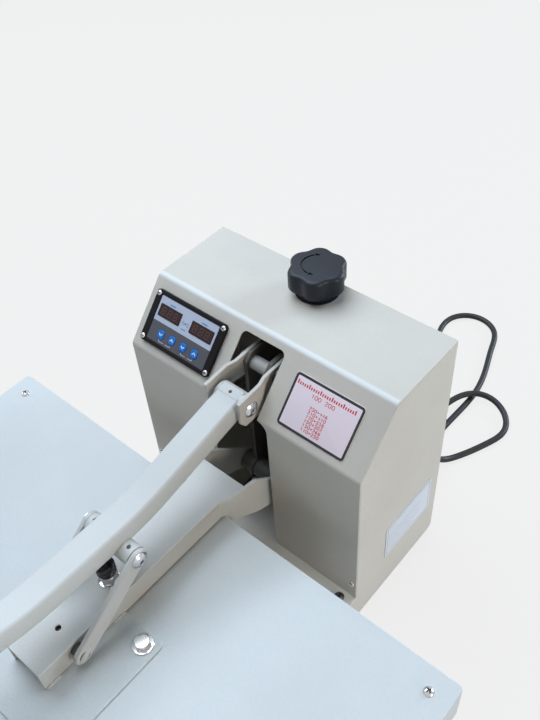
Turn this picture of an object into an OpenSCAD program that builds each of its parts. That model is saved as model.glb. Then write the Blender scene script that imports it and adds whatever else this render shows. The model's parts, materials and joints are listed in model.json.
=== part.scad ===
// Clamshell flat heat press: a sheet-metal tower with a toggle lever lifts a flat heated platen
// off a padded lower platen. X runs across the press, Y to the back, Z up from the table.

/* [Base] */
// Width over the side plates
base_w = 300; // [270:1:340]
// Height of the base sides below the deck
base_h = 44; // [36:1:56]
// Length of the base in front of the tower
base_l = 420; // [400:1:440]
// Thickness of the side plates and the deck
sheet_t = 2; // [1.5:0.1:3]
// Width of the turned-in bottom flange
flange_w = 42; // [38:1:60]
// Diameter of a rubber foot
foot_d = 34; // [24:1:36]
// Height of a rubber foot
foot_h = 12; // [8:1:20]

/* [Tower] */
// Depth of the tower from front to back
tower_d = 153; // [146:1:175]
// Height of the tower top above the deck
tower_h = 268; // [262:1:290]
// Depth taken by the sloped panel
slope_run = 54; // [48:1:60]
// Height taken by the sloped panel
slope_rise = 61; // [57:1:66]
// Thickness of the folded cover
cover_t = 1.5; // [1:0.1:2]
// Outside radius of the cover's folds
fold_r = 7; // [5:0.5:9]
// Width of the slot in the front panel
front_slot_w = 77; // [74:1:90]
// Width of the slot in the sloped panel
slope_slot_w = 54; // [53:1:60]
// Length of the slot up the sloped panel
slope_slot_l = 72; // [66:1:74]

/* [Platens] */
// Width of the upper platen cover
platen_w = 606; // [560:1:640]
// Length of the upper platen cover from front to back
platen_l = 406; // [390:1:420]
// Gap between the tower front and the platen cover
platen_gap = 55; // [52:1:65]
// Height of the platen cover
cover_h = 50; // [46:1:54]
// Height of the heating plate that shows below its cover
heater_drop = 8; // [5:0.5:10]
// Thickness of the heating plate
heater_t = 16; // [14:0.5:20]
// Thickness of the silicone pad
pad_t = 8; // [6:0.5:10]
// Thickness of the lower platen
lower_t = 8; // [6:0.5:10]
// Height of the posts under the lower platen
riser_h = 30; // [27:1:33]
// Inset of the cover screws from the cover's edges
screw_inset = 22; // [18:1:26]

/* [Arm] */
// Width of the arm channel
channel_w = 45; // [44:0.5:47]
// Height of the arm channel above the platen cover
channel_h = 28.5; // [27:0.5:31]
// Wall of the arm channel
channel_t = 3; // [2.5:0.1:3.5]
// Distance from the tower front to the front end of the channel
channel_reach = 287; // [280:1:300]
// Distance from the tower front to the rear edge of the channel's top
channel_start = 29; // [26:1:33]
// Thickness of the mounting plate under the channel
mount_t = 3; // [2.5:0.5:5]
// Width of the mounting plate
mount_w = 148; // [140:1:180]
// Length of the mounting plate
mount_l = 132; // [120:1:150]
// Bolt spacing across the mounting plate
mount_bolt_dx = 118; // [110:1:126]
// Bolt spacing along the mounting plate
mount_bolt_dy = 108; // [100:1:110]
// Distance of the arm pivot behind the tower front
arm_pivot_y = 34; // [30:1:38]
// Height of the arm pivot above the deck
arm_pivot_z = 68; // [64:1:72]
// Diameter of the arm shaft
arm_shaft_d = 16; // [14:1:18]

/* [Lever] */
// Width of the lever tube
lever_w = 32; // [28:1:34]
// Height of the lever tube
lever_h = 24; // [22:1:26]
// Wall of the lever tube
lever_t = 2.5; // [1.5:0.1:3]
// Slope of the lever where it leaves the tower, in degrees
lever_dip = 12.5; // [11:0.5:14]
// Rise of the lever towards the grip, in degrees
lever_rise = 14; // [8:1:20]
// Length of the straight run next to the tower
lever_run = 112; // [106:1:116]
// Length of the level run
lever_level = 75; // [68:1:90]
// Length of the rising run with the grip
lever_end = 235; // [215:1:260]
// Diameter of the hand grip
grip_d = 38; // [36:1:42]
// Length of the hand grip
grip_l = 130; // [110:1:150]

/* [Linkage] */
// Distance of the link boss in front of the lever pivot
boss_reach = 166; // [162:1:170]
// Distance of the link's lower pin in front of the tower
pin_reach = 247; // [243:1:251]
// Height of the link's lower pin above the platen cover
pin_rise = 18; // [16:0.5:19]
// Thickness of the link bars
link_t = 5; // [4:0.5:6]
// Width of the link bars
link_w = 20; // [18:1:26]
// Thickness of the rocker plates
rocker_t = 4; // [3:0.5:4]
// Distance of the rocker shaft behind the tower front
rocker_y = 42; // [40:1:46]
// Diameter of the rocker shaft
rocker_shaft_d = 10; // [9:1:12]
// Thickness of the inner uprights
upright_t = 5; // [4:0.5:6]

/* [Pressure knob] */
// Diameter of the pressure knob
knob_d = 61; // [54:1:66]
// Height of the pressure knob
knob_h = 32; // [30:0.5:38]
// Number of lobes on the pressure knob
knob_lobes = 6; // [5:1:8]
// Distance of the knob's axis from the back of the tower
knob_back = 22; // [20:1:25]
// Diameter of the threaded spindle
spindle_d = 14; // [12:1:16]

/* [Controller] */
// Width of the controller bezel
bezel_w = 98; // [94:1:104]
// Height of the controller bezel
bezel_h = 58; // [54:1:62]
// Thickness of the controller bezel
bezel_t = 4; // [3.5:0.1:5]
// Side of a key
key_w = 9; // [7:0.5:10]
// Travel of a key
key_travel = 0.6; // [0.4:0.1:0.8]
// Width of the label on the sloped panel
label_w = 79; // [70:1:84]
// Height of the label on the sloped panel
label_h = 55; // [45:1:60]

/* [Mains lead] */
// Diameter of the mains lead
cord_d = 8.2; // [7:0.2:9]
// Number of loops in each layer of the coil
coil_loops = 1; // [1:1:2]

/* [Hidden] */
$fn = 64;

// Clearances: a running fit on a shaft, a bolt in its hole, and faces that pass each other
run_gap = 0.05;
hole_gap = 0.2;
face_gap = 0.3;
// Overshoot of a cutting shape past the face that it cuts
cut = 1;
// Share of a hexagon's width across flats that is its corner radius
hex_k = 1 / sqrt(3);

// Heights above the deck
pad_z = riser_h + lower_t;
heater_z = pad_z + pad_t + face_gap;
cover_z = pad_z + pad_t + heater_drop;
cover_top = cover_z + cover_h;
channel_top = cover_top + channel_h;
board_z = heater_z + heater_t;
skin_t = 2;
board_t = cover_top - skin_t - board_z;
front_h = tower_h - slope_rise;
platen_y = -platen_gap - platen_l / 2;

// Joint axes, as [y, z] behind the tower front and above the deck
arm_pivot = [arm_pivot_y, arm_pivot_z];
lever_pivot = [-2, front_h + 15];
rocker_pivot = [rocker_y, front_h + 23];
knob_y = tower_d - knob_back;
trunnion = [knob_y, rocker_pivot[1]];

// Lever path, as [forward, up] from the lever pivot
bend_r = 230;
lap = 1;
bush_r = lever_h / 2;
lever_corner = lever_t + 0.5;
boss_drop = 1.3;
lever_p1 = [lever_run * cos(lever_dip), -lever_run * sin(lever_dip)];
lever_p2 = lever_p1 + [bend_r * sin(lever_dip), -bend_r * (1 - cos(lever_dip))];
lever_p3 = lever_p2 + [lever_level, 0];
lever_p4 = lever_p3 + [bend_r * sin(lever_rise), bend_r * (1 - cos(lever_rise))];
lever_p5 = lever_p4 + lever_end * [cos(lever_rise), sin(lever_rise)];
lever_under = lever_pivot[1] + lever_p2[1] - lever_h / 2;
link_top = [lever_pivot[0] - boss_reach, lever_under - boss_drop];
link_foot = [-pin_reach, cover_top + pin_rise];

// The part is centred front to back between the grip's nose and the cable gland at the back
gland_nut_h = 6;
gland_nose_l = 18;
gland_end = tower_d + gland_nut_h + gland_nose_l;
rocker_tilt = 7;
switch_half = 10;
switch_tip = 2.8;
switch_sink = 1;
switch_pin_r = 1.1;
lever_front = lever_p5[0] - lever_pivot[0] + grip_d / 2;
front_y = (lever_front - gland_end) / 2;
deck_z = foot_h + base_h;

// Sloped panel
slope_a = atan2(slope_rise, slope_run);
slope_l = norm([slope_run, slope_rise]);
side_in = base_w / 2 - sheet_t;
fold_lean = 90 + slope_a;
low_fold = [fold_r, front_h - fold_r * tan((90 - slope_a) / 2)];
high_fold = [slope_run + fold_r * tan(slope_a / 2), tower_h - fold_r];

// Plates of the linkage, as distances from the middle plane
rocker_in = lever_w / 2 + face_gap;
rocker_out = rocker_in + rocker_t;
joggle = 3;
step_start = 14;
step_end = 24;
nose_reach = 15;
nose_rise = 18;
nose_drop = 17;
nose_cut = 6;
nose_back = 10;
neck_run = 11;
tail_half = 14;
upright_out = rocker_in - face_gap;
upright_in = upright_out - upright_t;
bush_half = lever_w / 2;
link_in = channel_w / 2 + 6.5;
link_out = link_in + link_t;
boss_half = link_in - face_gap;
boss_r = 10.5;
oil_x = 22.5;
oil_r = 2;
boss_bolt_r = 5;
pin_r = 6;
pivot_bolt_r = 5;
pivot_collar_r = 9;
trunnion_r = 12;
trunnion_pin_r = 6;
ear_t = 4;
ear_in = channel_w / 2 + 7;
ear_out = ear_in + ear_t;
ear_r = arm_shaft_d / 2 + 5;
ear_start = channel_start + 31;
neck_x = channel_w / 2 + 5.5;
neck_y = channel_start + 20;
flare_end = channel_start - 11;
arm_spacer_wall = 3;
rocker_spacer_wall = 2.2;
upright_front = rocker_pivot[0] - 10;
upright_back = knob_y - trunnion_r - 9;
upright_bolt_in = 14;
mount_bolt_r = 4;
mount_head = 5.3;
mount_bolt_af = 13;
foot_t = 5;
small_screw_r = 1.5;
washer_t = 1.6;
mount_hole_r = mount_bolt_r + hole_gap;
bumper_y = lever_pivot[0] - lever_p2[0] - 24;
bumper_room = lever_under - channel_top;
bumper_gap = 0.4 * bumper_room;
bumper_nut_h = 0.28 * bumper_room;
bumper_stud_r = 5;
bumper_stud_l = 12;
bumper_nut_af = 17;
bumper_collar = 2;
bumper_collar_r = 11;
bumper_r = 9.5;
bumper_groove = 1.2;
post_r = 6;
screw_r = 2;
screw_l = 18;
screw_head_r = 4.4;
screw_head_h = 2.8;
riser_r = 14;
riser_dx = 220;
riser_dy = 236;
deck_bolt_x = base_w / 2 - 15;
deck_bolt_y = -9.5;
deck_bolt_r = 3;
deck_bolt_l = 12;
deck_head_r = 5.5;
deck_head_h = 3.5;
panel_screw_x = base_w / 2 - 5.4;
panel_screw_z = 24.4;

// Controller layout on the sloped panel, X across and U up from the lower fold
bezel_x = -base_w / 2 + 9.5 + bezel_w / 2;
bezel_u = 10 + bezel_h / 2;
overlay_w = bezel_w - 17;
overlay_h = bezel_h - 10;
overlay_t = 0.8;
overlay_sink = 0.4;
overlay_n = bezel_t - overlay_sink - overlay_t;
key_pitch = 16;
key_u = bezel_u - 14;
key_proud = 0.6;
key_floor = 0.8;
window_w = 29;
window_h = 12;
window_dx = 45;
window_u = bezel_u + 9.5;
bezel_screw_dx = bezel_w - 7.5;
bezel_screw_du = bezel_h - 9;
label_x = base_w / 2 - 24 - label_w / 2;
label_u = 8.5 + label_h / 2;
label_t = 0.6;

// Switch and gland on the back panel
switch_x = -base_w / 2 + 60;
switch_z = 44;
switch_w = 16;
switch_pin_x = switch_w / 2 + 1.8;
switch_body = [21, 26];
gland_x = base_w / 2 - 55;
gland_z = 14;
gland_thread_r = 8;

// Mains lead: the route from the gland to the coil, x and y from the gland's end and z from the deck
cord_r = cord_d / 2;
cord_z = -deck_z + cord_r + 0.2;
cord_hop = cord_d + 1.2;
coil_dx = -190;
coil_dy = 123;
coil_x = gland_x + coil_dx;
coil_y = gland_end + coil_dy;
coil_r = 55;
coil_pitch = cord_d + 1.4;
coil_rise = cord_d + 1;
coil_steps = 24;
cord_plan = [
    [0, 0, gland_z], [0, 10, gland_z], [1.2, 31, 9.2], [4.4, 45.6, -3.4], [6.6, 52.8, -18.8],
    [9.2, 59.9, -34.3], [15.1, 73.6, -46.9], [23.7, 91.8, cord_z], [43.2, 134.5, cord_z],
    [49.6, 163.6, cord_z], [43.4, 181.5, cord_z + 0.06 * cord_hop],
    [29.3, 194.4, cord_z + 0.36 * cord_hop], [11, 199.1, cord_z + 0.76 * cord_hop],
    [-8.4, 194.2, cord_z + cord_hop], [-22.7, 180.3, cord_z + cord_hop],
    [-39.1, 136.3, cord_z + 0.48 * cord_hop], [-66.6, 98.5, cord_z], [-97.4, 63.3, cord_z],
    [-102.4, 41, cord_z], [-96.6, 22, cord_z], [-82.2, 8.3, cord_z], [-62.9, 3.5, cord_z],
    [-43.7, 8.5, cord_z], [-26.4, 24.9, cord_z], [-15.7, 60, cord_z], [-16.5, 107, cord_z],
    [-15.6, 153.9, cord_z], [-15.9, 200.9, cord_z], [-25.9, 246.7, cord_z], [-41.4, 291.1, cord_z],
    [-58.2, 327, cord_z], [-75.6, 336.8, cord_z], [-94.5, 337.1, cord_z], [-111.4, 328.4, cord_z],
    [-122.2, 312.8, cord_z], [-124.1, 291.9, cord_z], [-111.9, 246.6, cord_z], [-117.1, 200.3, cord_z],
    [-132.9, 156.1, cord_z], [coil_dx + coil_r, coil_dy + cord_d, cord_z]];
cord_route = [for (p = cord_plan) [gland_x + p[0], gland_end + p[1], p[2]]];

// Points along the coil: loops in, a half turn up and loops out again
coil_turns = 2 * coil_loops + 0.5;
coil_count = coil_turns * coil_steps;
function coil_radius(t) = coil_r - coil_pitch * min(t, coil_turns - t);
function coil_lift(t) = coil_rise * max(0, min(1, 2 * (t - coil_loops)));
function coil_point(i) = let (t = i / coil_steps, a = -360 * t, r = coil_radius(t))
    [coil_x + r * cos(a), coil_y + r * sin(a), cord_z + coil_lift(t)];
coil_last = coil_point(coil_count);
coil_tail = 48;
coil_path = concat([[coil_x + coil_r, coil_y + cord_d, cord_z]], [for (i = [0 : coil_count]) coil_point(i)],
    [for (i = [1 : 3]) coil_last + [0, coil_tail * i / 3, 0]]);
coil_gap = min([for (i = [0 : len(coil_path) - 1], j = [i + coil_steps / 2 : len(coil_path) - 1])
    norm(coil_path[i] - coil_path[j])]) - cord_d;
echo(coil_self_gap = coil_gap);
plug_at = coil_last + [0, coil_tail, 0];
plug_l = 42;
plug_h = 2 * (plug_at[2] + deck_z) - 0.6;
plug_w = 30;

// Unit tangent of a path at point i, and the ring of points round it
function unit(v) = v / norm(v);
function tangent(p, i) = unit(p[min(i + 1, len(p) - 1)] - p[max(i - 1, 0)]);
function ring(p, i, r, n) = let (t = tangent(p, i), s = unit(cross(t, [0, 0, 1])), u = cross(s, t))
    [for (k = [0 : n - 1]) p[i] + r * (cos(360 * k / n) * s + sin(360 * k / n) * u)];

// Tube of n sides along the points p
module tube(p, r, n) {
    last = len(p) - 1;
    points = [for (i = [0 : last]) each ring(p, i, r, n)];
    sides = [for (i = [0 : last - 1], k = [0 : n - 1]) let (a = i * n + k, b = i * n + (k + 1) % n)
        each [[a, a + n, b], [b, a + n, b + n]]];
    head = [for (k = [1 : n - 2]) [0, k, k + 1]];
    tail = [for (k = [1 : n - 2]) [last * n, last * n + k + 1, last * n + k]];
    polyhedron(points, concat(sides, head, tail));
}

// Everything is drawn from the tower front on the deck
module at_deck() {
    translate([0, front_y, deck_z]) children();
}

// Frame of the sloped panel: X across, Y up the slope, Z out of its face
module on_slope() {
    translate([0, 0, front_h]) rotate([slope_a, 0, 0]) children();
}

// Outline in Y and Z made into a plate from x0 to x1
module plate_x(x0, x1) {
    translate([min(x0, x1), 0, 0]) rotate([90, 0, 90]) linear_extrude(abs(x1 - x0)) children();
}

// Rod along X at [y, z]
module rod_x(at, r, x0, x1) {
    translate([min(x0, x1), at[0], at[1]]) rotate([0, 90, 0]) cylinder(r = r, h = abs(x1 - x0));
}

// Rectangle with round corners, centred
module round_rect(w, h, r) {
    square([w - 2 * r, h], center = true);
    square([w, h - 2 * r], center = true);
    for (x = [-1, 1], y = [-1, 1]) translate([x * (w / 2 - r), y * (h / 2 - r)]) circle(r);
}

// Points on an arc round c between two directions
function arc(c, r, from, to, n = 8) = [for (i = [0 : n]) let (a = from + (to - from) * i / n)
    c + r * [cos(a), sin(a)]];

// Direction from c to where a line from p touches the circle round c, on the side that turn names
function touch_angle(p, c, r, turn) = atan2(p[1] - c[1], p[0] - c[0]) + turn * acos(r / norm(p - c));

// Both sides of the middle plane
module both() {
    children();
    mirror([1, 0, 0]) children();
}

module at_four(dx, dy) {
    for (x = [-dx / 2, dx / 2], y = [-dy / 2, dy / 2]) translate([x, y, 0]) children();
}

// Hexagonal head with its lower face at z = 0
module hex_head(af, h) {
    cylinder(r = af * hex_k, h = h, $fn = 6);
}

// Domed screw head with its lower face at z = 0
module dome_head(r, h) {
    rotate_extrude() intersection() {
        translate([0, h - (r * r + h * h) / (2 * h)]) circle((r * r + h * h) / (2 * h));
        square([r, h]);
    }
}

// Deck plate with its front apron
module base_deck() {
    color("silver") at_deck() difference() {
        union() {
            translate([-side_in, -base_l, -sheet_t])
                cube([2 * side_in, base_l + tower_d - cover_t - face_gap, sheet_t]);
            translate([-side_in, -base_l, -base_h]) cube([2 * side_in, sheet_t, base_h]);
        }
        for (x = [-deck_bolt_x, deck_bolt_x])
            translate([x, deck_bolt_y, -sheet_t - cut])
                cylinder(r = deck_bolt_r + hole_gap, h = sheet_t + 2 * cut);
        translate([0, platen_y, -sheet_t - cut]) at_four(riser_dx, riser_dy)
            cylinder(r = mount_bolt_r + hole_gap, h = sheet_t + 2 * cut);
        both() upright_bolt_places() translate([0, 0, -sheet_t - cut])
            cylinder(r = mount_hole_r, h = sheet_t + 2 * cut);
    }
}

// Side plate: tower side and base side in one, with a bottom flange for the feet
module side_plate() {
    inset = cover_t + face_gap;
    corner_r = 8;
    plate_x(side_in, base_w / 2) difference() {
        polygon(concat([[-base_l, -base_h], [tower_d, -base_h], [tower_d, tower_h - inset]],
            arc(high_fold, fold_r - inset, 90, fold_lean), arc(low_fold, fold_r - inset, fold_lean, 180),
            [[inset, 0], [-base_l, 0]]));
        translate([tower_d - corner_r, -base_h]) difference() {
            square(corner_r + cut);
            translate([0, corner_r]) circle(corner_r);
        }
    }
    translate([side_in - flange_w, -base_l + 2 * sheet_t, -base_h])
        cube([flange_w, base_l + tower_d - 12 - 2 * sheet_t, sheet_t]);
}

module side_plate_left() {
    color("gainsboro") at_deck() mirror([1, 0, 0]) side_plate();
}

module side_plate_right() {
    color("gainsboro") at_deck() side_plate();
}

// Round feet with a tapered side and a hollow under
module rubber_feet() {
    inset = foot_d / 2 + sheet_t + 3;
    color("dimgray") at_deck() both() for (y = [-base_l + inset + 10, tower_d - inset - 10])
        translate([base_w / 2 - inset, y, -deck_z]) rotate_extrude() difference() {
            polygon([[0, 0], [foot_d / 2 - 3, 0], [foot_d / 2, foot_h], [0, foot_h]]);
            square([foot_d / 5, foot_h / 3]);
        }
}

module deck_bolts() {
    color("dimgray") at_deck() both() translate([deck_bolt_x, deck_bolt_y, 0]) {
        dome_head(deck_head_r, deck_head_h);
        translate([0, 0, -deck_bolt_l]) cylinder(r = deck_bolt_r, h = deck_bolt_l);
    }
}

// Section of the folded cover: front panel, slope and top, with a round bend at each fold
module cover_section() {
    inner_r = fold_r - cover_t;
    polygon(concat([[0, 0]], arc(low_fold, fold_r, 180, fold_lean), arc(high_fold, fold_r, fold_lean, 90),
        [[tower_d, tower_h], [tower_d, tower_h - cover_t]], arc(high_fold, inner_r, 90, fold_lean),
        arc(low_fold, inner_r, fold_lean, 180), [[cover_t, 0]]));
}

// Slot for the arm and the lever, wide in the front panel and narrow in the slope
module cover_slot() {
    deep = 30;
    corner = 6;
    translate([-front_slot_w / 2, -cut, -cut]) cube([front_slot_w, deep, front_h - 14 + cut]);
    translate([-slope_slot_w / 2, -cut, -cut]) cube([slope_slot_w, fold_r + cut, front_h + cut]);
    translate([0, 0, front_h - 14]) rotate([90, 0, 0]) translate([0, 0, -deep + cut])
        linear_extrude(deep) intersection() {
            translate([0, 0]) round_rect(front_slot_w, 26, 12.5);
            translate([-front_slot_w / 2, -cut]) square([front_slot_w, 13 + cut]);
        }
    on_slope() translate([0, slope_slot_l / 2, -deep / 2]) linear_extrude(deep)
        round_rect(slope_slot_w, slope_slot_l, corner);
    on_slope() translate([-slope_slot_w / 2, -3, -deep / 2]) cube([slope_slot_w, slope_slot_l / 2, deep]);
}

module tower_cover() {
    color("gainsboro") at_deck() difference() {
        plate_x(-base_w / 2, base_w / 2) cover_section();
        cover_slot();
        translate([0, knob_y, tower_h - 2 * cover_t]) cylinder(r = 10 + hole_gap, h = 4 * cover_t);
        for (x = [-panel_screw_x, panel_screw_x]) translate([x, -cut, panel_screw_z])
            rotate([-90, 0, 0]) cylinder(r = small_screw_r + hole_gap, h = cover_t + 2 * cut);
        on_slope() translate([bezel_x, bezel_u, -3]) at_four(bezel_screw_dx, bezel_screw_du)
            cylinder(r = small_screw_r + hole_gap, h = 6);
    }
}

// Back panel with rows of air slots and cut-outs for the switch and the gland
module back_panel() {
    half = side_in - hole_gap;
    slots = 7;
    color("gainsboro") at_deck() difference() {
        translate([-half, tower_d - cover_t, -base_h])
            cube([2 * half, cover_t, tower_h + base_h - cover_t - face_gap]);
        for (i = [0 : slots - 1], x = [-70, 70])
            translate([x, tower_d, tower_h - 60 - 11 * i]) rotate([90, 0, 0]) translate([0, 0, -cut])
                linear_extrude(cover_t + 2 * cut) round_rect(90, 4, 1.9);
        translate([switch_x, tower_d, switch_z])
            cube([switch_body[0] + 2 * face_gap, 4 * cover_t, switch_body[1] + 2 * face_gap], center = true);
        translate([gland_x, tower_d - cover_t - cut, gland_z]) rotate([-90, 0, 0])
            cylinder(r = gland_thread_r + hole_gap, h = cover_t + 2 * cut);
    }
}

// Small pan screws of the front panel and of the controller
module panel_screws() {
    color("silver") at_deck() {
        both() translate([panel_screw_x, 0, panel_screw_z]) rotate([90, 0, 0]) pan_screw(8);
        on_slope() translate([bezel_x, bezel_u, bezel_t]) at_four(bezel_screw_dx, bezel_screw_du)
            pan_screw(bezel_t + 7);
    }
}

module pan_screw(reach) {
    dome_head(2.9, 1.9);
    translate([0, 0, -reach]) cylinder(r = small_screw_r, h = reach);
}

module upright_bolt_places() {
    for (y = [upright_front + upright_bolt_in, upright_back - upright_bolt_in])
        translate([upright_out + 14, y, 0]) children();
}

// Inner upright plate with a foot flange, carrying the arm shaft and the rocker shaft
module upright() {
    foot_w = 26;
    nip = 8;
    top = rocker_pivot[1] + 14;
    difference() {
        union() {
            plate_x(upright_in, upright_out) union() {
                polygon([[upright_front, 0], [upright_front, top - nip], [upright_front + nip, top],
                    [upright_back, top], [upright_back, 0]]);
                translate(arm_pivot) circle(ear_r);
            }
            translate([upright_out, upright_front, 0])
                cube([foot_w, upright_back - upright_front, foot_t]);
        }
        rod_x(arm_pivot, arm_shaft_d / 2 + hole_gap / 2, 0, 2 * upright_out);
        rod_x(rocker_pivot, rocker_shaft_d / 2 + hole_gap / 2, 0, 2 * upright_out);
        upright_bolt_places() translate([0, 0, -cut]) cylinder(r = mount_hole_r, h = foot_t + 2 * cut);
    }
}

module upright_left() {
    color("darkkhaki") at_deck() mirror([1, 0, 0]) upright();
}

module upright_right() {
    color("darkkhaki") at_deck() upright();
}

// Hex bolts up through the deck and its posts, and through the feet of the uprights
module frame_bolts() {
    grip = sheet_t + foot_t;
    color("silver") at_deck() {
        both() upright_bolt_places() {
            translate([0, 0, foot_t]) hex_head(mount_bolt_af, mount_head);
            translate([0, 0, -sheet_t - 9]) cylinder(r = mount_bolt_r, h = grip + 9);
            translate([0, 0, -sheet_t - 6.5]) hex_head(mount_bolt_af, 6.5);
        }
        translate([0, platen_y, -sheet_t]) at_four(riser_dx, riser_dy) {
            translate([0, 0, -mount_head]) hex_head(mount_bolt_af, mount_head);
            cylinder(r = mount_bolt_r, h = sheet_t + riser_h + lower_t - 4);
        }
    }
}

// Fixed shaft of the arm with a collar at each end
module arm_shaft() {
    r = arm_shaft_d / 2;
    color("silver") at_deck() {
        rod_x(arm_pivot, r, -ear_out - 4, ear_out + 4);
        both() rod_x(arm_pivot, r + 3, ear_out + face_gap, ear_out + face_gap + 2.5);
    }
}

module rocker_shaft() {
    r = rocker_shaft_d / 2;
    color("silver") at_deck() {
        rod_x(rocker_pivot, r, -rocker_out - 4, rocker_out + 4);
        both() rod_x(rocker_pivot, r + 4, rocker_out + face_gap, rocker_out + 4);
    }
}

// Tubes on the two shafts that keep the uprights and the ears apart
module shaft_spacers() {
    arm_r = arm_shaft_d / 2 + hole_gap;
    rocker_r = rocker_shaft_d / 2 + hole_gap;
    color("gray") at_deck() {
        difference() {
            union() {
                rod_x(arm_pivot, arm_r + arm_spacer_wall, -upright_in, upright_in);
                both() rod_x(arm_pivot, arm_r + arm_spacer_wall, upright_out, ear_in - face_gap);
            }
            rod_x(arm_pivot, arm_r, -ear_out, ear_out);
        }
        difference() {
            rod_x(rocker_pivot, rocker_r + rocker_spacer_wall, -upright_in, upright_in);
            rod_x(rocker_pivot, rocker_r, -rocker_in, rocker_in);
        }
    }
}

// Flanged bush in the tower top that the knob bears on
module spindle_bush() {
    color("dimgray") at_deck() translate([0, knob_y, tower_h]) difference() {
        union() {
            cylinder(r = knob_d / 2 - 7, h = 2);
            translate([0, 0, -10]) cylinder(r = 10, h = 11);
        }
        translate([0, 0, -10 - cut]) cylinder(r = spindle_d / 2 + run_gap, h = 13 + 2 * cut);
    }
}

// Controller frame with a recess for the overlay and a pocket behind the keys
module controller_bezel() {
    color("black") at_deck() on_slope() translate([bezel_x, bezel_u, 0]) difference() {
        linear_extrude(bezel_t) round_rect(bezel_w, bezel_h, 4);
        translate([0, 0, overlay_n]) linear_extrude(bezel_t)
            round_rect(overlay_w + 2 * hole_gap, overlay_h + 2 * hole_gap, 1);
        translate([0, key_u - bezel_u, key_floor]) linear_extrude(bezel_t)
            round_rect(3 * key_pitch + key_w + 8, key_w + 4, 1);
        translate([0, 0, -cut]) at_four(bezel_screw_dx, bezel_screw_du)
            cylinder(r = small_screw_r + hole_gap, h = bezel_t + 2 * cut);
    }
}

// Places of the four keys along the controller
function key_x(i) = bezel_x + (i - 1.5) * key_pitch;

module controller_overlay() {
    color("lightsteelblue") at_deck() on_slope() translate([0, 0, overlay_n]) difference() {
        translate([bezel_x, bezel_u, 0]) linear_extrude(overlay_t) round_rect(overlay_w, overlay_h, 1);
        for (i = [0 : 3]) translate([key_x(i), key_u, -cut]) linear_extrude(overlay_t + 2 * cut)
            round_rect(key_w + 2 * face_gap, key_w + 2 * face_gap, 3 + face_gap);
    }
}

module display_windows() {
    color("maroon") at_deck() on_slope()
        for (x = [-window_dx / 2, window_dx / 2]) translate([bezel_x + x, window_u, overlay_n + overlay_t])
            linear_extrude(overlay_sink) round_rect(window_w, window_h, 0.6);
}

// Square push key with round corners, proud of the overlay
module push_key(i) {
    floor_n = key_floor + key_travel + 0.3;
    color("dodgerblue") at_deck() on_slope() translate([key_x(i), key_u, floor_n])
        linear_extrude(overlay_n + overlay_t + key_proud - floor_n) round_rect(key_w, key_w, 3);
}

module key_1() push_key(0);
module key_2() push_key(1);
module key_3() push_key(2);
module key_4() push_key(3);

module slope_label() {
    color("mistyrose") at_deck() on_slope() translate([label_x, label_u, 0])
        linear_extrude(label_t) round_rect(label_w, label_h, 4);
}

// Bare plate on the right side of the tower
module rating_plate() {
    color("whitesmoke") at_deck() plate_x(base_w / 2, base_w / 2 + label_t)
        translate([tower_d - 58, 42]) round_rect(86, 54, 2);
}

// Switch housing through the back panel, open for the rocker
module switch_frame() {
    color("black") at_deck() translate([switch_x, tower_d, switch_z]) difference() {
        union() {
            translate([0, 2, 0]) rotate([90, 0, 0]) linear_extrude(2) round_rect(26, 32, 2);
            translate([-switch_body[0] / 2, -24, -switch_body[1] / 2])
                cube([switch_body[0], 25, switch_body[1]]);
        }
        translate([-switch_w / 2 - face_gap, -14, -switch_half - 1.4])
            cube([switch_w + 2 * face_gap, 18, 2 * switch_half + 2.8]);
        rod_x([-switch_sink, 0], switch_pin_r + run_gap, -switch_pin_x - run_gap, switch_pin_x + run_gap);
    }
}

// Rocker of the switch, tipped to its off side, on a pin across the housing
module switch_rocker() {
    color("darkred") at_deck() translate([switch_x, tower_d - switch_sink, switch_z])
        rotate([rocker_tilt, 0, 0]) {
            plate_x(-switch_w / 2, switch_w / 2)
                polygon([[-7, -4], [-7, 4], [0.5, switch_half], [switch_tip, switch_half], [1.2, 0],
                    [switch_tip, -switch_half], [0.5, -switch_half]]);
            rod_x([0, 0], switch_pin_r, -switch_pin_x, switch_pin_x);
        }
}

module lower_platen() {
    color("silver") at_deck() difference() {
        translate([0, platen_y, riser_h]) linear_extrude(lower_t) round_rect(platen_w - 6, platen_l - 6, 8);
        translate([0, platen_y, riser_h - cut]) at_four(riser_dx, riser_dy)
            cylinder(r = mount_bolt_r + hole_gap, h = cut + lower_t - 3);
    }
}

// Posts between the deck and the lower platen
module platen_risers() {
    color("gray") at_deck() translate([0, platen_y, 0]) at_four(riser_dx, riser_dy) difference() {
        cylinder(r = riser_r, h = riser_h);
        translate([0, 0, -cut]) cylinder(r = mount_bolt_r + hole_gap, h = riser_h + 2 * cut);
    }
}

module silicone_pad() {
    color("tan") at_deck() translate([0, platen_y, pad_z]) linear_extrude(pad_t)
        round_rect(platen_w - 6, platen_l - 6, 8);
}

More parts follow.
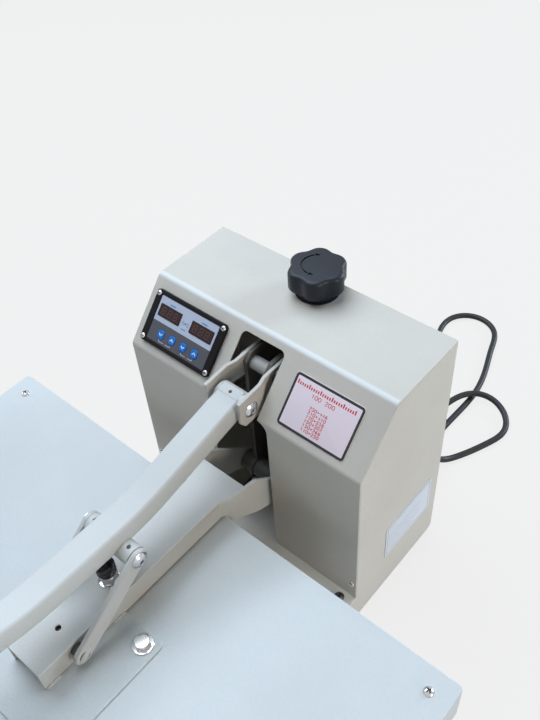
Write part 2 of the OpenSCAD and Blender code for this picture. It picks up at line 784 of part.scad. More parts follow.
// Arm: an inverted channel on the mounting plate, with a top that widens to the ears
module arm_channel() {
    half = channel_w / 2;
    spread = neck_x + (ear_out - neck_x) * (neck_y - channel_start) / (neck_y - flare_end);
    rear = platen_y + mount_l / 2;
    color("gainsboro") at_deck() difference() {
        union() {
            translate([0, 0, channel_top - channel_t]) linear_extrude(channel_t)
                polygon([[-half, -channel_reach], [half, -channel_reach], [half, -ear_start],
                    [neck_x, -neck_y], [spread, -channel_start], [-spread, -channel_start],
                    [-neck_x, -neck_y], [-half, -ear_start]]);
            both() plate_x(half - channel_t, half) {
                translate([-channel_reach, cover_top + mount_t])
                    square([channel_reach - ear_start, channel_h - mount_t]);
                translate([rear + face_gap, cover_top + 1.5])
                    square([-rear - face_gap - ear_start, channel_h - 1.5]);
            }
        }
        rod_x(link_foot, pin_r + run_gap, -half - cut, half + cut);
        translate([0, -pin_reach, channel_top - 2 * channel_t]) cylinder(r = 2.8, h = 3 * channel_t);
        translate([0, bumper_y, channel_top - 2 * channel_t])
            cylinder(r = bumper_stud_r + hole_gap, h = 3 * channel_t);
    }
}

// Ear: a plate that flares out from the channel's side and runs down to the arm shaft
module ear() {
    half = channel_w / 2;
    shoulder = [-channel_start + 13, channel_top - 1];
    heel = [-platen_gap + 5, cover_top - 10.5];
    difference() {
        intersection() {
            linear_extrude(2 * channel_top) polygon([[half - channel_t, -ear_start], [half, -ear_start],
                [neck_x, -neck_y], [ear_out, -flare_end], [ear_out, tower_d], [ear_in, tower_d],
                [ear_in, -flare_end], [neck_x - ear_t, -neck_y]]);
            plate_x(0, 2 * ear_out) polygon(concat([[-ear_start, cover_top + 1.5],
                [-ear_start, channel_top - channel_t], [-channel_start + face_gap, channel_top - channel_t],
                [-channel_start + face_gap, shoulder[1]], shoulder],
                arc(arm_pivot, ear_r, touch_angle(shoulder, arm_pivot, ear_r, -1),
                    touch_angle(heel, arm_pivot, ear_r, 1) - 360, 24),
                [heel, [-platen_gap + 1, cover_top + 1.5]]));
        }
        rod_x(arm_pivot, arm_shaft_d / 2 + run_gap, 0, 2 * ear_out);
    }
}

module ear_left() {
    color("gainsboro") at_deck() mirror([1, 0, 0]) ear();
}

module ear_right() {
    color("gainsboro") at_deck() ear();
}

module mounting_plate() {
    color("gainsboro") at_deck() translate([0, platen_y, cover_top]) difference() {
        linear_extrude(mount_t) round_rect(mount_w, mount_l, 5);
        translate([0, 0, -cut]) at_four(mount_bolt_dx, mount_bolt_dy)
            cylinder(r = mount_hole_r, h = mount_t + 2 * cut);
    }
}

// Hex bolts that hang the heating plate from the mounting plate
module mount_bolts() {
    reach = cover_top + mount_t + washer_t - board_z + 7;
    color("silver") at_deck() translate([0, platen_y, cover_top + mount_t + washer_t])
        at_four(mount_bolt_dx, mount_bolt_dy) {
            hex_head(mount_bolt_af, mount_head);
            translate([0, 0, -reach]) cylinder(r = mount_bolt_r, h = reach);
        }
}

module mount_washers() {
    color("silver") at_deck() translate([0, platen_y, cover_top + mount_t])
        at_four(mount_bolt_dx, mount_bolt_dy) difference() {
            cylinder(r = 8.5, h = washer_t);
            translate([0, 0, -cut]) cylinder(r = mount_hole_r, h = washer_t + 2 * cut);
        }
}

// Sheet cover over the heating plate, open below
module platen_cover() {
    color("lightsteelblue") at_deck() translate([0, platen_y, 0]) difference() {
        translate([0, 0, cover_z]) linear_extrude(cover_h) round_rect(platen_w, platen_l, 4);
        translate([0, 0, cover_z - cut]) linear_extrude(cover_h - skin_t + cut)
            round_rect(platen_w - 2 * skin_t, platen_l - 2 * skin_t, 2);
        translate([0, 0, cover_top - skin_t - cut]) {
            at_four(mount_bolt_dx, mount_bolt_dy) cylinder(r = mount_hole_r, h = skin_t + 2 * cut);
            at_four(platen_w - 2 * screw_inset, platen_l - 2 * screw_inset)
                cylinder(r = screw_r + hole_gap, h = skin_t + 2 * cut);
        }
    }
}

// Posts that hold the cover on the heating plate
module cover_posts() {
    color("gray") at_deck() translate([0, platen_y, board_z])
        at_four(platen_w - 2 * screw_inset, platen_l - 2 * screw_inset) difference() {
            cylinder(r = post_r, h = board_t);
            translate([0, 0, cut]) cylinder(r = screw_r + hole_gap, h = cover_top - board_z);
        }
}

module cover_screws() {
    color("silver") at_deck() translate([0, platen_y, cover_top])
        at_four(platen_w - 2 * screw_inset, platen_l - 2 * screw_inset) {
            dome_head(screw_head_r, screw_head_h);
            translate([0, 0, -screw_l]) cylinder(r = screw_r, h = screw_l);
        }
}

module insulation_board() {
    color("khaki") at_deck() translate([0, platen_y, board_z]) difference() {
        linear_extrude(board_t) round_rect(platen_w - 14, platen_l - 14, 4);
        translate([0, 0, -cut]) {
            at_four(mount_bolt_dx, mount_bolt_dy) cylinder(r = mount_hole_r, h = board_t + 2 * cut);
            at_four(platen_w - 2 * screw_inset, platen_l - 2 * screw_inset)
                cylinder(r = post_r + hole_gap, h = board_t + 2 * cut);
        }
    }
}

module heating_plate() {
    color("silver") at_deck() translate([0, platen_y, heater_z]) difference() {
        linear_extrude(heater_t) round_rect(platen_w - 8, platen_l - 8, 3);
        translate([0, 0, heater_t - 8]) at_four(mount_bolt_dx, mount_bolt_dy)
            cylinder(r = mount_hole_r, h = 8 + cut);
    }
}

// Nut and stud of the lever's rubber stop
module bumper_stud() {
    color("silver") at_deck() translate([0, bumper_y, channel_top]) {
        cylinder(r = bumper_collar_r, h = bumper_collar);
        translate([0, 0, bumper_collar]) hex_head(bumper_nut_af, bumper_nut_h - bumper_collar);
        translate([0, 0, -bumper_stud_l]) cylinder(r = bumper_stud_r, h = bumper_stud_l);
    }
}

module bumper_rubber() {
    base = channel_top + bumper_nut_h;
    tall = lever_under - bumper_gap - base;
    color("black") at_deck() translate([0, bumper_y, base]) rotate_extrude()
        polygon([[0, 0], [bumper_r - 1, 0], [bumper_r, 1], [bumper_r, 0.3 * tall],
            [bumper_r - bumper_groove, 0.36 * tall], [bumper_r, 0.42 * tall], [bumper_r, 0.62 * tall],
            [bumper_r - bumper_groove, 0.68 * tall], [bumper_r, 0.74 * tall], [bumper_r, tall - 2.5],
            [bumper_r - 3, tall], [0, tall]]);
}

// Flat link bar with round ends between the lever's boss and the arm's pin
module link_bar() {
    along = link_foot - link_top;
    turn = atan2(along[1], along[0]);
    difference() {
        plate_x(link_in, link_out) union() {
            translate(link_top) circle(link_w / 2);
            translate(link_foot) circle(link_w / 2);
            translate(link_top) rotate(turn) translate([0, -link_w / 2]) square([norm(along), link_w]);
        }
        rod_x(link_top, boss_bolt_r + hole_gap / 2, 0, 2 * link_out);
        rod_x(link_foot, pin_r + hole_gap / 2, 0, 2 * link_out);
    }
}

module link_left() {
    color("gainsboro") at_deck() mirror([1, 0, 0]) link_bar();
}

module link_right() {
    color("gainsboro") at_deck() link_bar();
}

// Pin across the channel with a collar between each wall and its link
module link_pin() {
    color("gainsboro") at_deck() {
        rod_x(link_foot, pin_r, -link_out - 0.6, link_out + 0.6);
        both() rod_x(link_foot, pin_r + 1.5, channel_w / 2 + face_gap, link_in);
    }
}

// Domed bolts through the links into the lever's boss
module link_bolts() {
    color("silver") at_deck() both() {
        rod_x(link_top, boss_bolt_r, link_in - 17, link_out);
        translate([link_out, link_top[0], link_top[1]]) rotate([0, 90, 0]) dome_head(8.5, 4.2);
    }
}

// Solid along the lever's path with a rounded section, started past the pivot and cut short at its end
module lever_path(w, h, r, from, short) {
    translate([0, lever_pivot[0], lever_pivot[1]]) {
        rotate([lever_dip + 90, 0, 0]) lever_straight(from, lever_run + lap, w, h, r);
        lever_bend(lever_p2, 270, lever_dip, w, h, r);
        translate([0, -lever_p2[0], lever_p2[1]]) rotate([90, 0, 0])
            lever_straight(-lap, lever_level + lap, w, h, r);
        lever_bend(lever_p3, 270 - lever_rise, lever_rise, w, h, r);
        translate([0, -lever_p4[0], lever_p4[1]]) rotate([90 - lever_rise, 0, 0])
            lever_straight(-lap, lever_end - short, w, h, r);
    }
}

// Straight run that laps into the bends, a hair slimmer than they are
module lever_straight(from, to, w, h, r) {
    slim = 0.02;
    translate([0, 0, from]) linear_extrude(to - from) round_rect(w - 2 * slim, h - 2 * slim, r - slim);
}

// Bend of the lever whose level end is at the point p, turned about a centre above it
module lever_bend(p, start, angle, w, h, r) {
    translate([0, -p[0], p[1] + bend_r]) rotate([90, 0, 90]) rotate([0, 0, start])
        rotate_extrude(angle = angle) translate([bend_r, 0]) round_rect(h, w, r);
}

// Bent lever of rectangular tube, cut out for its bush and its boss
module lever_tube() {
    color("gainsboro") at_deck() difference() {
        lever_path(lever_w, lever_h, lever_corner, 0, 24);
        lever_path(lever_w - 2 * lever_t, lever_h - 2 * lever_t, lever_corner - lever_t, -cut, 24 - cut);
        rod_x(lever_pivot, bush_r + hole_gap, -lever_w, lever_w);
        rod_x(link_top, boss_r + hole_gap, -lever_w, lever_w);
    }
}

// Cross tube at the lever's rear end, drilled for its bolt and for oil
module lever_bush() {
    color("gainsboro") at_deck() difference() {
        rod_x(lever_pivot, bush_r, -bush_half, bush_half);
        rod_x(lever_pivot, pivot_bolt_r + hole_gap, -bush_half - cut, bush_half + cut);
        translate([0, lever_pivot[0], lever_pivot[1]]) cylinder(r = 2, h = bush_r + cut);
    }
}

// Cross tube under the lever that the links hang on
module link_boss() {
    color("gainsboro") at_deck() difference() {
        rod_x(link_top, boss_r, -boss_half, boss_half);
        rod_x(link_top, boss_bolt_r + run_gap, -boss_half - cut, boss_half + cut);
        for (x = [-oil_x, oil_x]) translate([x, link_top[0], link_top[1]])
            cylinder(r = oil_r, h = boss_r + cut);
    }
}

// Hand grip with a round nose over the lever's end
module hand_grip() {
    r = grip_d / 2;
    neck = 0.8 * r;
    color("black") at_deck() difference() {
        translate([0, lever_pivot[0] - lever_p5[0], lever_pivot[1] + lever_p5[1]])
            rotate([90 - lever_rise, 0, 0]) rotate_extrude() {
                intersection() {
                    circle(r);
                    square(r + cut);
                }
                polygon([[0, -grip_l + r], [r - 2, -grip_l + r], [r, -grip_l + r + 3], [r, 0], [0, 0]]);
            }
        lever_path(lever_w + 2 * hole_gap, lever_h + 2 * hole_gap, lever_corner, lever_run / 2, neck);
    }
}

// Rocker plate: wide round the lever's bush, then stepped in to pass the uprights
module rocker_plate() {
    b = lever_pivot;
    a = rocker_pivot;
    difference() {
        intersection() {
            linear_extrude(2 * tower_h) polygon([[rocker_in + joggle, -front_slot_w / 2],
                [rocker_out + joggle, -front_slot_w / 2], [rocker_out + joggle, step_start],
                [rocker_out, step_end], [rocker_out, tower_d], [rocker_in, tower_d],
                [rocker_in, step_end], [rocker_in + joggle, step_start]]);
            plate_x(0, 3 * rocker_out) union() {
                polygon([b + [-nose_reach, nose_rise], b + [-nose_reach, -nose_reach + nose_cut],
                    b + [-nose_reach + nose_cut, -nose_drop], b + [nose_back, -nose_drop],
                    [b[0] + nose_back + neck_run, a[1] - tail_half], [knob_y, a[1] - tail_half],
                    [knob_y, a[1] + tail_half], [b[0] + nose_back + nose_cut, a[1] + tail_half - 2]]);
                translate(trunnion) circle(tail_half);
            }
        }
        rod_x(lever_pivot, pivot_bolt_r + hole_gap / 2, 0, 3 * rocker_out);
        rod_x(rocker_pivot, rocker_shaft_d / 2 + run_gap, 0, 3 * rocker_out);
        rod_x(trunnion, trunnion_pin_r + run_gap, 0, 3 * rocker_out);
    }
}

module rocker_plate_left() {
    color("gainsboro") at_deck() mirror([1, 0, 0]) rocker_plate();
}

module rocker_plate_right() {
    color("gainsboro") at_deck() rocker_plate();
}

// Domed pivot bolts in the rocker plates, with a thrust collar inside each plate
module pivot_bolts() {
    color("silver") at_deck() both() {
        rod_x(lever_pivot, pivot_bolt_r, rocker_in, rocker_out + joggle);
        rod_x(lever_pivot, pivot_collar_r, rocker_in, rocker_in + joggle);
        translate([rocker_out + joggle, lever_pivot[0], lever_pivot[1]]) rotate([0, 90, 0]) dome_head(7.5, 4);
    }
}

// Cross nut on the spindle that tilts the rocker
module trunnion_nut() {
    color("goldenrod") at_deck() difference() {
        union() {
            rod_x(trunnion, trunnion_r, -rocker_in + face_gap, rocker_in - face_gap);
            rod_x(trunnion, trunnion_pin_r, -rocker_out - 2, rocker_out + 2);
        }
        translate([0, knob_y, trunnion[1] - trunnion_r - cut])
            cylinder(r = spindle_d / 2 + 2 * hole_gap, h = 2 * trunnion_r + 2 * cut);
    }
}

// Lobed knob with a domed top and a round hub below
module pressure_knob() {
    r = knob_d / 2;
    skirt = 10;
    dome = 4;
    hub_z = 2 + face_gap;
    scallop = 16;
    scallop_in = 4;
    color("black") at_deck() translate([0, knob_y, tower_h]) difference() {
        union() {
            translate([0, 0, hub_z]) cylinder(r = r - 8, h = skirt - hub_z + 1);
            intersection() {
                linear_extrude(knob_h) difference() {
                    circle(r);
                    for (i = [0 : knob_lobes - 1]) rotate(360 * (i + 0.5) / knob_lobes)
                        translate([r + scallop - scallop_in, 0]) circle(scallop);
                }
                rotate_extrude() polygon([[0, skirt], [r - 2, skirt], [r, skirt + 2], [r, knob_h - dome],
                    [r - 1.5, knob_h - dome / 2], [r - 5, knob_h], [0, knob_h]]);
            }
        }
        translate([0, 0, -cut]) cylinder(r = spindle_d / 2 + hole_gap / 2, h = 20 + cut);
    }
}

module knob_spindle() {
    low = trunnion[1] - 26;
    color("silver") at_deck() translate([0, knob_y, low]) rotate_extrude()
        polygon([[0, 0], [spindle_d / 2 - 1.5, 0], [spindle_d / 2, 1.5], [spindle_d / 2, tower_h + 20 - low],
            [0, tower_h + 20 - low]]);
}

// Gland through the back panel with a hexagonal nut and a tapered nose
module cable_gland() {
    bore = cord_r + hole_gap;
    color("dimgray") at_deck() translate([gland_x, tower_d, gland_z]) rotate([-90, 0, 0]) {
        difference() {
            union() {
                hex_head(20, gland_nut_h);
                translate([0, 0, -10]) cylinder(r = gland_thread_r, h = 11);
            }
            translate([0, 0, -10 - cut]) cylinder(r = bore, h = 10 + gland_nut_h + 2 * cut);
        }
        translate([0, 0, gland_nut_h]) rotate_extrude()
            polygon([[bore, 0], [9, 0], [9, 4], [cord_r + 2, gland_nose_l], [0, gland_nose_l],
                [0, gland_nose_l - 2], [bore, gland_nose_l - 2]]);
    }
}

module mains_lead() {
    color("black") at_deck() tube(cord_route, cord_r, 10);
}

module cord_coil() {
    color("black") at_deck() tube(coil_path, cord_r, 6);
}

// Moulded plug with two flat blades and a round earth pin
module mains_plug() {
    blade_l = 16;
    color("black") at_deck() translate(plug_at) rotate([-90, 0, 0]) {
        linear_extrude(plug_l) round_rect(plug_w, plug_h, 6);
        for (x = [-6.35, 6.35]) translate([x - 0.75, -6, plug_l]) cube([1.5, 6.3, blade_l]);
        translate([0, 8.5, plug_l]) cylinder(r = 2.4, h = blade_l + 2);
    }
}

base_deck();
side_plate_left();
side_plate_right();
rubber_feet();
deck_bolts();
tower_cover();
back_panel();
panel_screws();
upright_left();
upright_right();
frame_bolts();
arm_shaft();
rocker_shaft();
shaft_spacers();
spindle_bush();
controller_bezel();
controller_overlay();
display_windows();
key_1();
key_2();
key_3();
key_4();
slope_label();
rating_plate();
switch_frame();
switch_rocker();
lower_platen();
platen_risers();
silicone_pad();
arm_channel();
ear_left();
ear_right();
mounting_plate();
mount_bolts();
mount_washers();
platen_cover();
cover_posts();
cover_screws();
insulation_board();
heating_plate();
bumper_stud();
bumper_rubber();
link_left();
link_right();
link_pin();
link_bolts();
lever_tube();
lever_bush();
link_boss();
hand_grip();
rocker_plate_left();
rocker_plate_right();
pivot_bolts();
trunnion_nut();
pressure_knob();
knob_spindle();
cable_gland();
mains_lead();
cord_coil();
mains_plug();
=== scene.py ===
import json
import math

import bmesh
import bpy
import numpy as np
from mathutils import Matrix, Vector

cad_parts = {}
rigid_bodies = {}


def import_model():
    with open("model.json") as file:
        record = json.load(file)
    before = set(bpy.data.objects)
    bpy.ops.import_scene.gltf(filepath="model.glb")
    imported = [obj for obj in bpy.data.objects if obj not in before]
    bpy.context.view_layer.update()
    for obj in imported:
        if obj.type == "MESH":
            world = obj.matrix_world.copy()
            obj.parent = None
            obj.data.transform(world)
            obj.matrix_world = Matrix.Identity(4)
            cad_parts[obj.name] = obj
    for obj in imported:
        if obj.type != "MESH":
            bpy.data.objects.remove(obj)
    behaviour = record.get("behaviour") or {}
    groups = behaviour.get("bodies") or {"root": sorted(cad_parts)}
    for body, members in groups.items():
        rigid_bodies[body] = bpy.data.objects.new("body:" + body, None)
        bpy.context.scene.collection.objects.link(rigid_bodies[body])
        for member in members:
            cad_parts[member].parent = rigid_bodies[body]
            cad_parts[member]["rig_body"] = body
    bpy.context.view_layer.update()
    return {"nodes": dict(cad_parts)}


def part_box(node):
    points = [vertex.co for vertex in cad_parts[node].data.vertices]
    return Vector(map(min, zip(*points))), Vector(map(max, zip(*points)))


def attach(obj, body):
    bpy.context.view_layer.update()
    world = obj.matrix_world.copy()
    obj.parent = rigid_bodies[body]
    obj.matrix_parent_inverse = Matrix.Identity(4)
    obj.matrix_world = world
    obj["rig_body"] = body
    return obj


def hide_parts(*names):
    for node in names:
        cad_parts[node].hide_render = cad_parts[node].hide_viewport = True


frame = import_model()
nodes = frame["nodes"]
scene = bpy.context.scene
scene.view_settings.view_transform = "Standard"

# places are told in millimetres from the tower front, on the deck: x across, y back, z up
deck = np.array([0.0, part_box("tower_cover")[0].y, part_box("base_deck")[1].z])
slope = {"low": 207.0, "run": 54.0, "rise": 61.0}
slopeTurn = math.atan2(slope["rise"], slope["run"])
slopeUp = np.array([0.0, math.cos(slopeTurn), math.sin(slopeTurn)])
slopeOut = np.array([0.0, -math.sin(slopeTurn), math.cos(slopeTurn)])


def world(p):
    return deck + np.asarray(p, float) / 1000


def onSlope(p):
    # x across, u up the slope from the lower fold, n out of its face
    p = np.asarray(p, float)
    way = p[..., :1] * [1, 0, 0] + p[..., 1:2] * slopeUp + p[..., 2:] * slopeOut
    return world([0, 0, slope["low"]]) + way / 1000


def bodyOf(node):
    return nodes[node]["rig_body"]


def added(name, data):
    made = bpy.data.objects.new(name, data)
    scene.collection.objects.link(made)
    return made


# camera and light

view = {"at": (391.4, -355.8, 807.0), "azimuth": 43.71, "elevation": 45.556, "roll": -4.564,
        "lens": 54.22, "sensor": 36.0, "clip": (0.02, 60)}


def posed(right, up, back, at):
    # matrix whose columns are three directions and a place
    pose = np.eye(4)
    pose[:3] = np.stack([right, up, back, at], -1)
    return Matrix(pose.tolist())


def setCamera():
    # azimuth goes round from the front, elevation lifts the eye, roll turns the picture on the line of sight
    az, el, roll = (math.radians(view[k]) for k in ("azimuth", "elevation", "roll"))
    back = np.array([math.sin(az) * math.cos(el), -math.cos(az) * math.cos(el), math.sin(el)])
    level = np.array([math.cos(az), math.sin(az), 0.0])
    up = np.cross(back, level)
    right = math.cos(roll) * level + math.sin(roll) * up
    above = math.cos(roll) * up - math.sin(roll) * level
    data = bpy.data.cameras.new("camera")
    data.sensor_fit, data.sensor_width, data.lens = "HORIZONTAL", view["sensor"], view["lens"]
    data.clip_start, data.clip_end = view["clip"]
    scene.camera = added("camera", data)
    scene.camera.matrix_world = posed(right, above, back, world(view["at"]))


studio = {
    "seen": (0.934, 0.930, 0.926),  # floor as the camera meets it
    "backdrop": (0.862, 0.862, 0.862), "share": 0.86,
    "sky": (1.10, 0.98, 0.86), "skyLevel": 0.07,
    "floor": 9.0, "under": 0.0004,  # half its width, and how far it lies under the feet
    "lamps": {
        "key": {"at": (-1.0, 0.30, 2.45), "aim": (0.0, 0.0, 0.2), "size": 2.6, "watts": 66,
                "tint": (0.85, 0.985, 1.15)},
        "rightWarm": {"at": (2.7, 0.05, 0.85), "aim": (0.0, 0.1, 0.2), "size": 1.1, "watts": 21,
                      "tint": (1.10, 1.0, 0.89)},
        "rightBack": {"at": (1.2, 2.6, 1.0), "aim": (0.1, 0.2, 0.2), "size": 1.2, "watts": 44,
                      "tint": (0.78, 1.0, 1.26)},
        "leftFront": {"at": (-2.6, -0.6, 1.0), "aim": (-0.1, 0.1, 0.2), "size": 1.0, "watts": 9,
                      "tint": (0.88, 0.99, 1.12)},
    },
}


def setLamps():
    for name, lamp in studio["lamps"].items():
        data = bpy.data.lights.new(name, "AREA")
        data.shape, data.size = "DISK", lamp["size"]
        data.energy, data.color = lamp["watts"], lamp["tint"]
        back = np.array(lamp["at"]) - np.array(lamp["aim"])
        back = back / np.linalg.norm(back)
        side = np.cross([0.0, 0.0, 1.0], back)
        side = side / np.linalg.norm(side)
        added(name, data).matrix_world = posed(side, np.cross(back, side), back, lamp["at"])


# shader arithmetic


class Wire:
    # one socket of a node tree; + - and * on it add Math nodes

    def __init__(self, tree, socket=None):
        self.tree, self.socket = tree, socket

    def plug(self, socket, value):
        if isinstance(value, Wire):
            self.tree.links.new(value.socket, socket)
        else:
            socket.default_value = value

    def node(self, kind, settings={}, values={}, out=0):
        made = self.tree.nodes.new("ShaderNode" + kind)
        for key, value in settings.items():
            setattr(made, key, value)
        for key, value in values.items():
            self.plug(made.inputs[key], value)
        return Wire(self.tree, made.outputs[out])

    def math(self, operation, a, b):
        return self.node("Math", {"operation": operation}, {0: a, 1: b})

    def __add__(self, other):
        return self.math("ADD", self, other)

    def __radd__(self, other):
        return self.math("ADD", other, self)

    def __sub__(self, other):
        return self.math("SUBTRACT", self, other)

    def __rsub__(self, other):
        return self.math("SUBTRACT", other, self)

    def __mul__(self, other):
        return self.math("MULTIPLY", self, other)

    def __rmul__(self, other):
        return self.math("MULTIPLY", other, self)

    def most(self, other):
        return self.math("MAXIMUM", self, other)

    def ease(self, low, high):
        # 0 below low, 1 above high, a smooth step between
        return self.node("MapRange", {"interpolation_type": "SMOOTHSTEP"}, {0: self, 1: low, 2: high})

    def blend(self, a, b):
        # colour a where this is 0, b where it is 1
        return self.node("Mix", {"data_type": "RGBA"}, {0: self, 6: shade(a), 7: shade(b)}, 2)

    def part(self, name):
        return self.node("SeparateXYZ", {}, {0: self}, name)


def shade(c):
    return c if isinstance(c, Wire) else (*c[:3], 1.0)


def scaled(colour, by, add=0.0):
    # a colour times a number, plus a little grey, held to 1
    return [min(1.0, c * by + add) for c in colour]


class Finish:
    # a material: its tree, object coordinates and principled shader

    def __init__(self, name, **fixed):
        self.material = bpy.data.materials.new(name)
        self.material.use_nodes = True
        tree = self.material.node_tree
        self.shader = next(n for n in tree.nodes if n.type == "BSDF_PRINCIPLED")
        self.wire = Wire(tree)
        self.place = self.wire.node("TexCoord", out="Object")
        for key, value in fixed.items():
            self.set(key.replace("_", " "), value)

    def set(self, socket, value):
        self.wire.plug(self.shader.inputs[socket], shade(value) if socket == "Base Color" else value)

    def noise(self, scale, detail, rough, stretch=None):
        where = self.place
        if stretch:
            where = self.wire.node("Mapping", {}, {"Vector": where, "Scale": stretch})
        values = {"Vector": where, "Scale": scale, "Detail": detail, "Roughness": rough}
        return self.wire.node("TexNoise", {}, values)

    def cells(self, scale):
        return self.wire.node("TexVoronoi", {}, {"Vector": self.place, "Scale": scale}, "Distance")

    def bump(self, height, strength, depth):
        values = {"Strength": strength, "Distance": depth, "Height": height}
        self.set("Normal", self.wire.node("Bump", {}, values))
        return self.material


def powderCoat(name, colour, grain=430.0, depth=0.00013, fold=None):
    # sprayed texture coat: two sizes of orange peel, faint clouding, a few specks and scuffs
    f = Finish(name, IOR=1.5)
    peel = f.noise(grain, 2.5, 0.55)
    fine = f.noise(grain * 2.7, 1.5, 0.5)
    cloud = f.noise(7.0, 3.0, 0.6)
    scuff = f.noise(38.0, 4.0, 0.7).ease(0.66, 0.74) * f.noise(260.0, 2.0, 0.6).ease(0.45, 0.7)
    speck = (1 - f.cells(70.0).ease(0.012, 0.03)) * f.noise(19.0, 1.0, 0.5).ease(0.56, 0.62)
    tone = cloud.ease(0.3, 0.72).blend(scaled(colour, 0.955), scaled(colour, 1.035))
    tone = (peel.ease(0.62, 0.3) * 0.10).blend(tone, scaled(colour, 0.72))
    tone = (scuff * 0.22).blend(tone, scaled(colour, 1.13, 0.02))
    tone = (speck * 0.55).blend(tone, scaled(colour, 0.42))
    rough = 0.40 + 0.12 * cloud + 0.10 * fine + 0.12 * scuff
    if fold is not None:
        # a painted highlight: within a few millimetres of a fold along x through this place the coat is paler
        # and bluish, and smoother
        y, z = (f.place.part(k) - float(v) for k, v in zip("YZ", fold[1:]))
        near = 1 - (y * y + z * z).ease(0.0016 ** 2, 0.0044 ** 2)
        tone = (near * (0.35 + 0.3 * cloud)).blend(tone, (0.78, 0.84, 0.87))
        rough = rough - 0.18 * near
    f.set("Base Color", tone)
    f.set("Roughness", rough)
    return f.bump(peel + 0.35 * fine, 0.55, depth)


def chippedEdgeHighlight(name, colour):
    # coat along a cut edge: paler in patches as a painted highlight along the edge, chipped to the primer
    # here and there
    f = Finish(name, IOR=1.5)
    rub = f.noise(120.0, 3.0, 0.6)
    chip = f.noise(420.0, 3.0, 0.65).ease(0.70, 0.76) * f.noise(34.0, 2.0, 0.5).ease(0.55, 0.68)
    # the paler tone along the edge is a painted highlight
    tone = rub.ease(0.3, 0.7).blend(colour, scaled(colour, 1.10, 0.02))
    f.set("Base Color", (chip * 0.7).blend(tone, (0.20, 0.18, 0.16)))
    f.set("Roughness", 0.30 + 0.18 * rub + 0.2 * chip)
    return f.bump(rub - 0.6 * chip, 0.3, 0.00008)


def plating(name, colour, rough):
    # zinc or chrome: bright metal with fine marks, dulled in clouds, stained warm in its hollows
    f = Finish(name, Metallic=1.0)
    cloud = f.noise(90.0, 3.0, 0.6)
    marks = f.noise(2600.0, 2.0, 0.6)
    stain = f.noise(420.0, 3.0, 0.65).ease(0.58, 0.72)
    tone = cloud.ease(0.35, 0.7).blend(scaled(colour, 0.9), colour)
    f.set("Base Color", (stain * 0.3).blend(tone, [c * s for c, s in zip(colour, (0.62, 0.58, 0.53))]))
    f.set("Roughness", rough + 0.16 * cloud * marks + 0.12 * stain)
    return f.bump(marks, 0.25, 0.00003)


def moulded(name, colour, rough, grain=1500.0, depth=0.00004, lift=1.6, shine=0.5):
    # moulded plastic or rubber: spark-eroded grain, rubbed paler in places
    f = Finish(name, IOR=1.48, Specular_IOR_Level=shine)
    pits = f.noise(grain, 2.0, 0.6)
    rub = f.noise(60.0, 4.0, 0.65).ease(0.5, 0.8)
    dust = f.noise(900.0, 2.0, 0.7).ease(0.62, 0.78)
    tone = (rub * 0.6).blend(colour, scaled(colour, lift, 0.003))
    f.set("Base Color", (dust * 0.03).blend(tone, (0.25, 0.25, 0.25)))
    f.set("Roughness", rough + 0.14 * rub + 0.08 * pits)
    return f.bump(pits, 0.5, depth)


def ink(name, colour, rough=0.5):
    # screen print: dense ink with pinholes and an uneven edge of gloss
    f = Finish(name)
    grain = f.noise(3200.0, 2.0, 0.6)
    f.set("Base Color", (grain.ease(0.62, 0.8) * 0.25).blend(colour, scaled(colour, 1.5, 0.02)))
    f.set("Roughness", rough + 0.15 * grain)
    return f.bump(grain, 0.2, 0.00002)


def overlayFilm(split):
    # printed polyester: pale field above, dark field below, parted by a level line this far up the slope
    f = Finish("overlayFilm", Coat_Roughness=0.12)
    low = onSlope(np.array([0.0, split, 0.0]))
    rise = f.wire.node("VectorMath", {"operation": "DOT_PRODUCT"}, {0: f.place, 1: tuple(slopeUp)}, "Value")
    upper = (rise - float(low @ slopeUp)).ease(-0.00012, 0.00012)
    weave = f.noise(2400.0, 2.0, 0.5)
    cloud = f.noise(45.0, 2.0, 0.5)
    tone = upper.blend((0.066, 0.068, 0.084), (0.50, 0.545, 0.66))
    faded = upper.blend((0.085, 0.089, 0.108), (0.56, 0.60, 0.71))
    f.set("Base Color", (cloud.ease(0.3, 0.75) * 0.25).blend(tone, faded))
    f.set("Roughness", 0.34 + 0.12 * weave)
    return f.bump(weave, 0.3, 0.00003)


def siliconeSponge():
    # cut sponge sheet: closed cells in two sizes under a thin skin
    f = Finish("siliconeSponge", IOR=1.43)
    cells = f.cells(620.0).ease(0.0, 0.6)
    large = f.cells(240.0).ease(0.05, 0.5)
    cloud = f.noise(16.0, 3.0, 0.6)
    tone = cloud.ease(0.3, 0.7).blend((0.63, 0.30, 0.17), (0.70, 0.36, 0.21))
    f.set("Base Color", (1 - cells * large).blend(tone, (0.44, 0.19, 0.10)))
    f.set("Roughness", 0.62 + 0.2 * cloud)
    return f.bump(cells + 0.6 * large, 0.6, 0.0002)


def castAluminium():
    # ground casting: long grinding marks with heat tint in patches
    f = Finish("castAluminium", Metallic=1.0)
    lines = f.noise(900.0, 3.0, 0.6, (0.03, 1.0, 1.0))
    heat = f.noise(9.0, 3.0, 0.6).ease(0.4, 0.75)
    f.set("Base Color", (heat * 0.5).blend((0.60, 0.60, 0.60), (0.55, 0.49, 0.40)))
    f.set("Roughness", 0.34 + 0.2 * lines)
    return f.bump(lines, 0.35, 0.00006)


def fibreBoard():
    # pressed mineral wool: matted threads
    f = Finish("fibreBoard")
    mat = f.noise(700.0, 5.0, 0.75, (1.0, 0.25, 1.0)) * f.noise(600.0, 4.0, 0.7, (0.25, 1.0, 1.0))
    f.set("Base Color", mat.ease(0.12, 0.4).blend((0.42, 0.36, 0.22), (0.62, 0.56, 0.38)))
    f.set("Roughness", 0.86 + 0.1 * mat)
    return f.bump(mat, 0.7, 0.0006)


